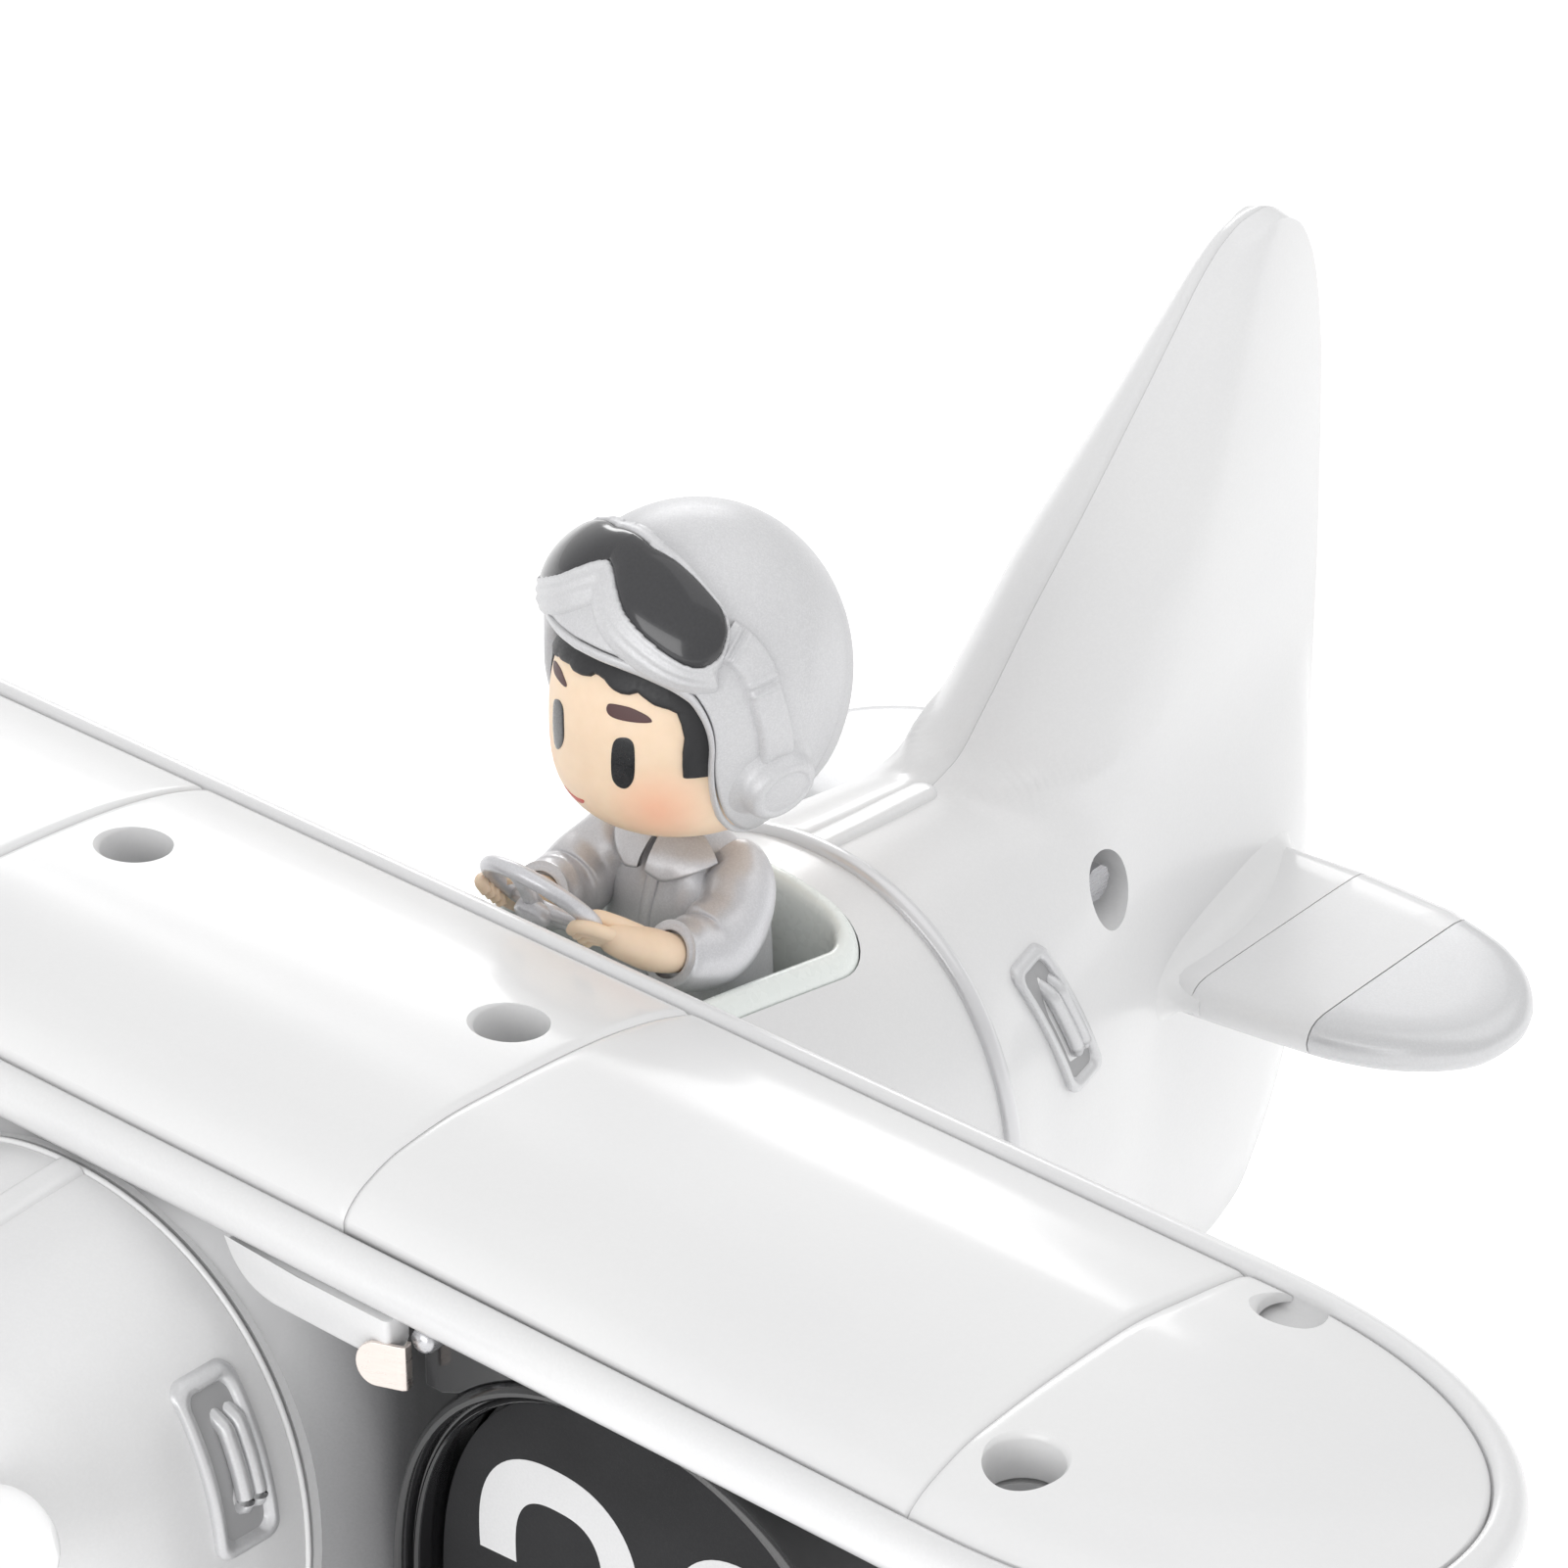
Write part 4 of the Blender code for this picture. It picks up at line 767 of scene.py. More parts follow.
def wing_top_panel(name, xa, xb, mat, body_nodes):
    xs = []
    n = 120
    base = [xa + (xb - xa) * i / n for i in range(n + 1)]
    lim = WING_X0 + WING_A - EDGE
    for x in base:
        xs.append(x)
    if abs(xb) > WING_X0 or abs(xa) > WING_X0:
        sgn = 1 if xb > WING_X0 else -1
        inner = xa if sgn > 0 else xb
        xs = [inner + (sgn * lim - inner) * (math.sin(math.pi / 2 * i / 90)) for i in range(91)]
        if sgn < 0:
            xs = xs[::-1]
    rings = []
    ny = 72
    for i, x in enumerate(xs):
        u = max(abs(x) - WING_X0, 0) / (WING_A - EDGE)
        h = (WING_B - EDGE) * max(1 - u ** WING_N, 0) ** (1 / WING_N)
        h = max(h, 0.05)
        end = 0.0
        de = min(abs(x - xa), abs(x - xb))
        if not (abs(x) > WING_X0 + 20):
            end = 0.4 * math.exp(-de / 0.3)
        ring = []
        for k in range(ny + 1):
            s = -math.cos(math.pi * k / ny)
            y = WING_Y0 + h * s
            d = h * (1 - abs(s))
            z = crown(x, y) - 0.45 * math.exp(-d / 0.4) - end
            ring.append((x, y, max(z, -1.5)))
        ring += [(x, WING_Y0 + h, -1.7), (x, WING_Y0 - h, -1.7)]
        rings.append(ring)
    return mesh_obj(name, *skin(rings), mat, angle=0)


def bore(x, y, r, z0, z1, lip=0.45):
    return tool(*turned([(0.001, z0), (r, z0), (r, z1 - 0.7), (r + 0.1, z1 - 0.3), (r + lip, z1 + 0.1), (r + lip + 0.5, z1 + 0.6), (r + lip + 0.6, z1 + 4), (0.001, z1 + 4)], "Z", (x, y, 0), 56))


WSCREW = [(29.2, -21.5), (122.0, -47.3), (123.9, -4.6)]
SEAM1, SEAM2 = 38.0, 115.5
panels = [("wing_panel_mid", -SEAM1 + 0.06, SEAM1 - 0.06, PEARL), ("wing_panel_left", SEAM1 + 0.06, SEAM2 - 0.06, PEARL), ("wing_panel_right", -SEAM2 + 0.06, -SEAM1 - 0.06, PEARL), ("wing_tip_left", SEAM2 + 0.06, 161.1, PEARL), ("wing_tip_right", -161.1, -SEAM2 - 0.06, PEARL)]
for nm, xa, xb, mt in panels:
    ob = wing_top_panel(nm, xa, xb, mt, None)
    for side in (1, -1):
        for x, y in WSCREW:
            if xa < side * x < xb:
                cut(ob, bore(side * x, y, 4.25 if y < -10 else 3.7, -3.5, crown(side * x, y)), angle=35)
    finish_piece(ob, "airframe", ["upper_wing_top"])

rim_prof = [(4.6, -2.4), (4.0, -1.9), (3.62, -1.2), (3.5, -0.5), (3.2, -0.12), (2.6, 0.05), (1.9, -0.05), (1.2, -0.42), (0.62, -1.0), (0.25, -1.7), (0.05, -2.6), (0.0, -3.35), (0.08, -4.1), (0.4, -5.0), (0.95, -5.8), (1.8, -6.35), (2.8, -6.62), (4.0, -6.7), (6.0, -6.7)]
wb = mesh_obj("wing_lower_skin", *skin([[(x, y, z) for x, y in wing_outline(i)] for i, z in rim_prof]), PEARL2, angle=50)
for side in (1, -1):
    for x, y in WSCREW[:2]:
        cut(wb, tool(*cyl(4.25, 8.4, "Z", (side * x, y, -0.3), 48)), angle=40)
finish_piece(wb, "airframe", ["upper_wing_bottom"])
for j, (side, (x, y)) in enumerate([(s, w) for s in (1, -1) for w in WSCREW]):
    z0 = -4.3 if y < -10 else -5.1
    prof = [(0.001, z0 + 0.9), (1.0, z0 + 0.9), (1.25, z0 + 1.75), (2.1, z0 + 1.62), (2.75, z0 + 1.1), (2.85, z0 + 0.4), (1.5, z0 + 0.3), (1.5, -5.2), (0.001, -5.2)]
    ob = mesh_obj("wing_screw_head_%d" % (j + 1), *turned(prof, "Z", (side * x, y, 0), 36), STEEL, angle=40)
    for a in (0.3, 0.3 + math.pi / 2):
        v, f = box_vf(-1.7, 1.7, -0.32, 0.32, z0 + 0.9, z0 + 3)
        ca, sa = math.cos(a), math.sin(a)
        v = [(side * x + p[0] * ca - p[1] * sa, y + p[0] * sa + p[1] * ca, p[2]) for p in v]
        cut(ob, tool(v, f))
    finish_piece(ob, "airframe", ["wing_screw_left"] if j == 0 else ["wing_screw_right"] if j == 3 else [])

# ------------------------------------------------------------------ lower wing
LW_TOP, LW_BOT, LW_X0, LW_A = -85.6, -93.6, 92.0, 36.0


def low_outline(inset, nt=60):
    pts = []
    for side in (1, -1):
        for k in range(nt):
            t = -math.pi / 2 + math.pi * k / (nt - 1) + (math.pi if side < 0 else 0)
            c, s = math.cos(t), math.sin(t)
            ex = 2 / WING_N
            pts.append((side * LW_X0 + (LW_A - inset) * math.copysign(abs(c) ** ex, c), WING_Y0 + (28.0 - inset) * math.copysign(abs(s) ** ex, s)))
        ye = WING_Y0 + side * (28.0 - inset)
        for i in range(1, 20):
            pts.append((side * (LW_X0 - 2 * LW_X0 * i / 20), ye))
    return pts


zc = (LW_TOP + LW_BOT) / 2
lp = [(12, 4.0), (6, 3.9), (3.4, 3.6), (1.6, 2.9), (0.5, 1.8), (0, 0.4), (0, -0.6), (0.5, -1.9), (1.6, -3.0), (3.4, -3.7), (6, -4.0)]
lw = mesh_obj("lower_wing_skin", *skin([[(x, y, zc + dz) for x, y in low_outline(i)] for i, dz in lp]), PEARL2, angle=50)
rings = []
for y in range(-74, 14, 4):
    a, c, b = section(y)
    rings.append([(p[0], y, c + p[1]) for p in ellipse(a + 0.3, b + 0.3, 96, 2.15)])
cut(lw, tool(*skin(rings)), angle=35)
finish_piece(lw, "airframe", ["lower_wing"])
for side in (1, -1):
    for j, x in enumerate((50, 88)):
        groove = [(side * x, -2.9, LW_TOP + 0.02), (side * x, -56.0, LW_TOP + 0.02)]
        mesh_obj("lower_wing_rib_%s%d" % ("l" if side > 0 else "r", j), *limb_vf([(side * x, -4.5 - 50 * i / 30, LW_TOP - 0.25) for i in range(31)], [0.45] * 31, 10), PEARL2, "airframe", slot="pearl")

# ------------------------------------------------------------------ digits
def ribbon(path, w, closed=False):
    n = len(path)
    L, R = [], []
    for i in range(n):
        a = path[(i - 1) % n] if closed or i > 0 else path[i]
        b = path[(i + 1) % n] if closed or i < n - 1 else path[i]
        dx, dz = b[0] - a[0], b[1] - a[1]
        d = math.hypot(dx, dz) or 1
        nx, nz = -dz / d, dx / d
        L.append((path[i][0] + nx * w / 2, path[i][1] + nz * w / 2))
        R.append((path[i][0] - nx * w / 2, path[i][1] - nz * w / 2))
    return L, R


def arc(cx, cz, rx, rz, a0, a1, n=40, pw=2.3):
    out = []
    for i in range(n + 1):
        t = math.radians(a0 + (a1 - a0) * i / n)
        c, s = math.cos(t), math.sin(t)
        out.append((cx + rx * math.copysign(abs(c) ** (2 / pw), c), cz + rz * math.copysign(abs(s) ** (2 / pw), s)))
    return out


DW, DH, SW_ = 23.2, 46.4, 5.3


def digit(ch):
    l, r, b, t = SW_ / 2, DW - SW_ / 2, SW_ / 2, DH - SW_ / 2
    mx = DW / 2
    if ch == "2":
        top = arc(mx, t - 10.4, r - mx, 10.4, 188, -28, 44, 2.5)
        end = top[-1]
        diag = [(end[0] + (l + 0.3 - end[0]) * s, end[1] + (b + 1.5 - end[1]) * (s ** 1.12)) for s in [i / 16 for i in range(1, 17)]]
        return [(top + diag, False), ([(0.6, b), (DW - 0.3, b)], False)]
    if ch == "8":
        return [(arc(mx, t - 9.9, r - mx - 0.8, 9.9, 0, 360, 60), True), (arc(mx, b + 10.9, r - mx, 10.9, 0, 360, 60), True)]
    if ch == "9":
        return [(arc(mx, t - 11.0, r - mx, 11.0, 0, 360, 60), True), ([(r, t - 10), (r, b + 10)] + arc(mx, b + 9.5, r - mx, 9.5, 0, -170, 30), False)]
    if ch == "0":
        return [(arc(mx, DH / 2, r - mx, DH / 2 - b, 0, 360, 90, 2.8), True)]
    if ch == "1":
        return [([(mx + 1.5, t + SW_ / 2), (mx + 1.5, 0)], False), ([(mx - 6.5, t - 6.8), (mx + 1.5, t - 0.4)], False)]
    return []


def put_digits(name, text, px, y, facing, half, flip, body):
    """Digits printed on one half of the card. facing -1 is towards -Y."""
    verts, faces = [], []
    x0 = px - DW - 1.7
    for i, ch in enumerate(text):
        ox = x0 + i * (DW + 3.4)
        for q, (path, closed) in enumerate(digit(ch)):
            L, R = ribbon(path, SW_, closed)
            m = len(L)
            k0 = len(verts)
            for a, c in zip(L, R):
                for (u, v) in (a, c):
                    zz = v - DH / 2
                    verts.append((ox + u, y + facing * 0.012 * q, zz))
            for j in range(m if closed else m - 1):
                a, b2 = k0 + 2 * j, k0 + 2 * ((j + 1) % m)
                faces.append((a, a + 1, b2 + 1, b2))
    bm = bmesh.new()
    vs = [bm.verts.new(v) for v in verts]
    for f in faces:
        try:
            bm.faces.new([vs[i] for i in f])
        except ValueError:
            pass
    lim = 0.45
    geom = bm.verts[:] + bm.edges[:] + bm.faces[:]
    if half == "up":
        bmesh.ops.bisect_plane(bm, geom=geom, plane_co=(0, 0, lim), plane_no=(0, 0, 1), clear_inner=True)
    else:
        bmesh.ops.bisect_plane(bm, geom=geom, plane_co=(0, 0, -lim), plane_no=(0, 0, -1), clear_inner=True)
    lift = 0.035
    r = bmesh.ops.extrude_face_region(bm, geom=bm.faces[:])
    bmesh.ops.translate(bm, verts=[g for g in r["geom"] if isinstance(g, bmesh.types.BMVert)], vec=(0, facing * lift, 0))
    for v in bm.verts:
        z = v.co.z
        if flip:
            z = -z
        v.co = P(v.co.x, v.co.y, POD_Z + z)
    bmesh.ops.recalc_face_normals(bm, faces=bm.faces)
    me = bpy.data.meshes.new(name)
    bm.to_mesh(me)
    bm.free()
    ob = bpy.data.objects.new(name, me)
    SC.collection.objects.link(ob)
    me.materials.append(DIGIT)
    finish_piece(ob, body)
    return ob


# ------------------------------------------------------------------ display pods
def pod_ring(x, y, w, h, n=128):
    return [(x + p[0], y, POD_Z + p[1]) for p in ellipse(w, h, n, POD_N)]


def half_leaf(px, y0, y1, up, w, h, pitch=0.35, n=60):
    pts = []
    for k in range(n + 1):
        t = math.pi * k / n
        c, s = math.cos(t), math.sin(t)
        ex = 2 / POD_N
        v = h * abs(s) ** ex
        pts.append((w * math.copysign(abs(c) ** ex, c), (1 if up else -1) * max(v, pitch)))
    rings = []
    for y, ins in ((y0, 0.06), (y0 + (y1 - y0) * 0.12, 0.0), (y1 - (y1 - y0) * 0.12, 0.0), (y1, 0.06)):
        rings.append([(px + u * (1 - ins / w), y, POD_Z + v * (1 - ins / h)) for u, v in pts])
    return skin(rings)


for side, tag, now, nxt in ((1, "minute", "28", "29"), (-1, "hour", "10", "11")):
    px = side * POD_X
    prof = [(0.0, POD_Y1), (0.0, POD_Y0 + 1.0), (0.05, POD_Y0 + 0.2), (0.2, POD_Y0 - 0.6), (0.5, POD_Y0 - 1.15), (0.95, POD_Y0 - 1.45), (1.45, POD_Y0 - 1.35), (1.75, POD_Y0 - 0.85), (1.85, POD_Y0 - 0.1), (1.95, POD_Y0 + 0.5), (2.15, POD_Y0 + 0.55), (2.35, POD_Y0 + 0.1), (2.6, POD_Y0 - 0.05), (2.85, POD_Y0 + 0.15), (2.98, POD_Y0 + 0.7), (3.0, POD_Y0 + 1.6), (3.0, POD_Y0 + 8), (2.4, POD_Y1)]
    housing = mesh_obj(tag + "_pod_housing", *skin([pod_ring(px, y, POD_W - i, POD_H - i) for i, y in prof], loop=True), BLACK, angle=50)
    cut(housing, tool(*cyl(3.0, 90, "X", (px, SPOOL_Y, POD_Z), 40)), angle=40)
    finish_piece(housing, "airframe", [tag + "_housing"])
    rc = [(17, 9.0), (12, 8.2), (8, 6.3), (4.6, 3.2), (3.2, 0.3), (0.0, 0.3), (0.05, 2.6), (0.6, 4.8), (1.9, 6.7), (4.0, 8.3), (7.5, 9.7), (12, 10.6), (18, 10.95), (24, 11.0)]
    mesh_obj(tag + "_pod_back", *skin([pod_ring(px, POD_Y1 + d, max(POD_W - i, 3), max(POD_H - i, 3)) for i, d in rc]), PEARL2, "airframe", [tag + "_rear_cover"], slot="pearl", angle=50)
    mesh_obj(tag + "_cards_up", *half_leaf(px, CARD_Y + 0.55, CARD_Y + 1.75, True, LEAF_W, LEAF_H), CARD, "airframe", [tag + "_upper_leaves"], slot="card", angle=30)
    mesh_obj(tag + "_cards_down", *half_leaf(px, CARD_Y + 0.55, CARD_Y + 1.75, False, LEAF_W, LEAF_H), CARD, "airframe", [tag + "_lower_leaves"], slot="card", angle=30)
    mesh_obj(tag + "_card_falling", *half_leaf(px, CARD_Y - 0.2, CARD_Y + 0.2, True, LEAF_W, LEAF_H), CARD, tag + "_leaf", [tag + "_falling_leaf"], slot="card", angle=30)
    put_digits(tag + "_digits_top", now, px, CARD_Y - 0.2, -1, "up", False, tag + "_leaf")
    put_digits(tag + "_digits_back", nxt, px, CARD_Y + 0.2, 1, "low", True, tag + "_leaf")
    put_digits(tag + "_digits_low", now, px, CARD_Y + 0.55, -1, "low", False, "airframe")
    put_digits(tag + "_digits_next", nxt, px, CARD_Y + 0.55, -1, "up", False, "airframe")
    # dark floor of the slot behind the cards
    mesh_obj(tag + "_slot_back", *skin([pod_ring(px, y, POD_W - 3.2, POD_H - 3.2, 96) for y in (CARD_Y + 2.6, CARD_Y + 3.4)]), BLACKM, "airframe", slot="black", angle=40)
    # leaf clip: rounded plate bent round the edge of the recess
    cx0, cx1, cz0, cz1 = 44.7, 50.6, -19.4, -13.8
    pts = []
    hz = (cz1 - cz0) / 2
    for k in range(15):
        t = math.pi / 2 + math.pi * k / 14
        pts.append((cx0 + hz * 0.8 + hz * 0.8 * math.cos(t), (cz0 + cz1) / 2 + hz * math.sin(t)))
    yf = POD_Y0 - 3.4
    rings = []
    th = 0.5
    for q, (xx, yy) in enumerate([(cx1 - 1.2, yf), (cx1 - 0.6, yf + 0.03), (cx1 - 0.2, yf + 0.2), (cx1, yf + 0.6), (cx1, yf + 1.5)]):
        d = [(0, 1), (0.12, 0.99), (0.6, 0.8), (1, 0.1), (1, 0)][q]
        nx, ny = -d[0], d[1]
        rings.append([(side * xx, yy, cz1 - 0.15 * 0), (side * xx, yy, cz0), (side * (xx + nx * th), yy + ny * th, cz0), (side * (xx + nx * th), yy + ny * th, cz1)])
    v1, f1 = skin(rings)
    outer = [(side * x, yf, z) for x, z in pts] + [(side * (cx1 - 1.2), yf, cz0), (side * (cx1 - 1.2), yf, cz1)]
    inner = [(x, yf + th, z) for x, y, z in outer]
    v2, f2 = skin([outer, inner])
    f2 = [tuple(i + len(v1) for i in f) for f in f2]
    ca, sa = math.cos(0.36), math.sin(0.36)
    v1 = [(side * (46.0 + (side * x - 47.6) * ca - (y + 59.15) * sa), -61.0 + (side * x - 47.6) * sa + (y + 59.15) * ca, z + 4.2) for x, y, z in v1 + v2]
    v2 = []
    mesh_obj(tag + "_clip_plate", v1 + v2, f1 + f2, NICKEL, "airframe", [tag + "_leaf_clip"], slot="nickel", angle=45, bevel=0.14)

# cheeks, fairings under the wing and clip screws
for side, tag in ((1, "minute"), (-1, "hour")):
    def pod_edge(z):
        v = min(abs(z - POD_Z) / POD_H, 0.999)
        return POD_X - POD_W * (1 - v ** POD_N) ** (1 / POD_N)
    rings = []
    for i in range(60):
        z = -6.9 - 72.1 * i / 59
        xa = max(body_x(-58.5, z) - 0.6, 2.0)
        xb = max(pod_edge(z) + 0.25, xa + 0.5)
        ring = []
        for k in range(21):
            s = k / 20
            x = xa + (xb - xa) * s
            y = -59.6 + 4.4 * s + 2.6 * math.sin(math.pi * s) * min(1, (xb - xa) / 12)
            ring.append((side * x, y, z))
        ring += [(side * xb, -20.0, z), (side * xa, -20.0, z)]
        rings.append(ring)
    # the cheek's darkening towards the pod is painted shade in its material
    mesh_obj(tag + "_cheek", *skin(rings), CHEEK_SHADED, "airframe", [tag + "_pylon"], slot="silver", angle=50)
    # plate under the leading edge
    low = [(22.9, -6.8), (24.0, -9.0), (25.4, -10.6), (27.2, -11.7), (29.5, -12.3), (33.0, -12.4), (44.6, -12.4), (46.2, -11.7), (46.9, -10.2)]
    edge = spline_pts(low, 40)
    rings = []
    for y, ins in ((-60.9, 0.7), (-60.82, 0.35), (-60.6, 0.12), (-60.2, 0.0), (-57.6, 0.0)):
        rings.append([(side * (x - (ins if x > 44 else 0)), y, z + ins) for x, z in edge] + [(side * (46.9 - ins), y, -6.75), (side * 34.0, y, -6.75)])
    mesh_obj(tag + "_wing_plate", *skin(rings), PEARL2, "airframe", slot="pearl", angle=40)
    # keeper for the clip: small bright screw, and a black block above it that stands in for the shaded hollow (painted
    # shade)
    shade_blk = [(48.0, -6.8), (48.0, -16.6), (50.6, -16.6)] + [(pod_edge(z) + 0.3, z) for z in (-15.5, -14.2, -12.9, -11.6, -10.4, -9.2)] + [(66.0, -6.8)]
    mesh_obj(tag + "_clip_shade_block", *skin([[(side * x, y, z) for x, z in shade_blk] for y in (-56.6, -50.0)]), BLACK, "airframe", slot="black", angle=30, bevel=0.3)
    mesh_obj(tag + "_clip_screw", *turned([(0.001, -0.7), (0.7, -0.62), (1.35, -0.25), (1.6, 0.5), (1.6, 3.4), (0.001, 3.4)], "Y", (side * 49.4, -58.2, -9.4), 30), STEEL, "airframe", slot="steel", angle=50)

# setting knob
kx = POD_X + POD_W + 1.0
rings = []
for s, g, f in ((0, -0.6, 0.2), (0.35, 0.0, 0.8), (0.9, 0.3, 1), (5.9, 0.3, 1), (6.45, 0.0, 0.8), (6.8, -0.6, 0.2)):
    ring = []
    for q in range(192):
        t = 2 * math.pi * q / 192
        r = 8.0 + g - 0.45 * f * (0.5 - 0.5 * math.cos(16 * t))
        ring.append((kx + s, SPOOL_Y + r * math.cos(t), POD_Z + r * math.sin(t)))
    rings.append(ring)
mesh_obj("setting_knob_cap", *skin(rings), BLACK, "minute_drum", ["setting_knob"], slot="black", angle=50)

# ------------------------------------------------------------------ propeller
def turned_smooth(pts, axis, c, n=96, m=40):
    return turned(spline_pts(pts, m), axis, c, n)


sp = [(0.02, -118), (1.6, -117.8), (3.4, -117.1), (6.2, -115.2), (8.6, -112), (10.0, -108), (10.6, -103.4)]
mesh_obj("propeller_spinner", *turned(spline_pts(sp, 30) + [(9.4, -103.4), (0.02, -103.4)], "Y", (0, 0, PROP_Z), 96), SILVER, "propeller_rotor", ["propeller"], slot="silver", angle=50)
for i in range(3):
    ang = math.radians(33 + 120 * i)
    d = Vector((math.cos(ang), 0, math.sin(ang)))
    t = Vector((-math.sin(ang), 0, math.cos(ang)))
    tab = [(6.0, 3.0, 50, 1.6), (16, 4.6, 42, 1.4), (26, 6.4, 32, 1.15), (36, 7.2, 25, 0.95), (45, 6.4, 20, 0.8), (50.0, 4.4, 17, 0.65), (52.1, 2.2, 16, 0.5), (52.5, 0.9, 16, 0.3)]
    rings = []
    for r, w, tw, th in spline_pts(tab, 60):
        r = min(r, 52.5)
        cw, sw = math.cos(math.radians(tw)), math.sin(math.radians(tw))
        u = t * cw + Vector((0, 1, 0)) * sw
        nn = t * -sw + Vector((0, 1, 0)) * cw
        c = Vector((0, PROP_Y, PROP_Z)) + d * r
        rings.append([tuple(c + u * (w * math.cos(q)) + nn * (th * math.sin(q))) for q in [2 * math.pi * k / 32 for k in range(32)]])
    mesh_obj("propeller_blade_%d" % (i + 1), *skin(rings), PEARL, "propeller_rotor", slot="pearl", angle=70)

# ------------------------------------------------------------------ undercarriage
for side, tag in ((1, "left"), (-1, "right")):
    tab = [(34, -42, -94.2, 3.0, 9.0), (37, -48, -101, 2.6, 6.5), (40, -56, -109, 2.4, 5.0), (41.5, -60.0, -114, 2.4, 4.8), (42, -62, -119.0, 2.2, 2.6)]
    rings = []
    for x, y, z, hx, hy in spline_pts(tab, 40):
        rings.append([(side * (x + hx * math.cos(q)), y + hy * math.sin(q), z) for q in [2 * math.pi * k / 48 for k in range(48)]])
    leg = mesh_obj(tag + "_leg", *skin(rings), PEARL, angle=60)
    cut(leg, tool(*cyl(2.0, 20, "X", (side * 41, GEAR_Y, AXLE_Z), 40)), angle=40)
    finish_piece(leg, "airframe", [tag + "_gear_leg"])
    wx = side * 52.0
    pr = spline_pts([(13.6, -5.4), (15.2, -6.1), (17.0, -6.3), (18.7, -5.2), (19.7, -2.8), (WHEEL_R, 0), (19.7, 2.8), (18.7, 5.2), (17.0, 6.3), (15.2, 6.1), (13.6, 5.4)], 48)
    n = 144
    rings = []
    for i in range(n):
        t = 2 * math.pi * i / n
        ring = []
        for r, s in pr:
            r = min(r, WHEEL_R)
            if abs(s) < 4.6 and r > 18.6:
                g = 0.28 * (1 if (abs(abs(s) - 2.2) < 0.45) else 0)
                r -= g
            ring.append((wx + s, GEAR_Y + r * math.cos(t), AXLE_Z + r * math.sin(t)))
        ring += [(wx + 3, GEAR_Y + 12.9 * math.cos(t), AXLE_Z + 12.9 * math.sin(t)), (wx - 3, GEAR_Y + 12.9 * math.cos(t), AXLE_Z + 12.9 * math.sin(t))]
        rings.append(ring)
    mesh_obj(tag + "_tyre_skin", *skin(rings, loop=True), RUBBER, tag + "_main_wheel", [tag + "_tyre"], slot="rubber", angle=40)
    s_ = side
    hub = [(1.9, -5.0), (5.0, -5.0), (6.0, -3.4), (9.5, -3.2), (12.4, -4.6), (13.1, -4.3), (12.6, 0), (13.1, 4.3), (12.4, 4.7), (9.5, 3.2), (6.0, 3.4), (5.4, 5.0), (4.6, 5.6), (1.9, 5.6)]
    ob = mesh_obj(tag + "_hub", *turned(hub, "X", (wx, GEAR_Y, AXLE_Z), 96), SILVER, angle=35, bevel=0.18)
    apply_mods(ob)
    for k in range(6):
        t = math.pi * k / 3
        cut(ob, tool(*cyl(1.5, 20, "X", (wx, GEAR_Y + 9.0 * math.cos(t), AXLE_Z + 9.0 * math.sin(t)), 24)), angle=35)
    finish_piece(ob, tag + "_main_wheel", [tag + "_wheel_hub"])

tw = [(1.3, -2.6), (5.4, -2.6), (6.6, -2.5), (7.5, -2.0), (TAILW_R, -1.1), (TAILW_R, 1.1), (7.5, 2.0), (6.6, 2.5), (5.4, 2.6), (1.3, 2.6)]
mesh_obj("tail_tyre", *turned(tw, "X", (0, TAILW_Y, TAILW_Z), 96), RUBBER, "tail_roller", ["tail_wheel"], slot="rubber", angle=40)

# ------------------------------------------------------------------ pilot figurine
HF = Vector((-0.1681, -0.9556, -0.2421)).normalized()
HU = (Vector((0, 0, 1)) - HF * HF.z).normalized()
HL = HU.cross(HF)
HC, HR = Vector((0, 42.3, 10.1)), (18.5, 20.3, 21.4)
FC = Vector((0, 40.2, 5.9))


def hdir(phi, th):
    p, t = math.radians(phi), math.radians(th)
    return HL * (math.sin(p) * math.cos(t)) + HF * (math.cos(p) * math.cos(t)) + HU * math.sin(t)


def on(c, r, d, off=0.0):
    k = 1 / math.sqrt((d.x / r[0]) ** 2 + (d.y / r[1]) ** 2 + (d.z / r[2]) ** 2)
    return c + d * (k + off)


def helmet_pt(phi, th, off=0.0):
    return tuple(on(HC, HR, hdir(phi, th), off))


def face_on(d, off=0.0):
    rz = 17.0 if d.z > 0 else 12.4
    e = 2.5 if d.z > 0 else 3.1
    k = (math.hypot(d.x / 15.3, d.y / 15.8) ** e + abs(d.z / rz) ** e) ** (-1 / e)
    return FC + d * (k + off)


def face_pt(phi, th, off=0.0):
    return tuple(face_on(hdir(phi, th), off))


# helmet: rings run from the face-and-neck opening to the back of the crown
AXD = hdir(0, -42)
AXU = (HU - AXD * HU.dot(AXD)).normalized()
AXL = AXU.cross(AXD)
rim_pts = [(0, 42.9), (14, 42.5), (26.3, 41.1), (39, 37.8), (47.4, 33.9), (54.6, 28.3), (57.8, 21.7), (59, 14.5), (58.4, 7.5), (56.2, -1.1), (54.8, -9.2), (54.1, -18.9), (54.6, -29), (57.7, -39.5), (62.5, -44.0), (72, -44.5), (84, -40), (105, -38), (130, -38), (155, -38), (180, -38)]
pol = []
for p, t in rim_pts:
    d = hdir(p, t)
    al = math.degrees(math.atan2(d.dot(AXL), d.dot(AXU)))
    be = math.degrees(math.acos(max(-1, min(1, d.dot(AXD)))))
    pol.append((al, be))
pol.sort()


def rim_beta(al):
    return interp(abs(al), pol)


def ax_dir(al, be):
    a, b = math.radians(al), math.radians(be)
    return AXD * math.cos(b) + (AXU * math.cos(a) + AXL * math.sin(a)) * math.sin(b)


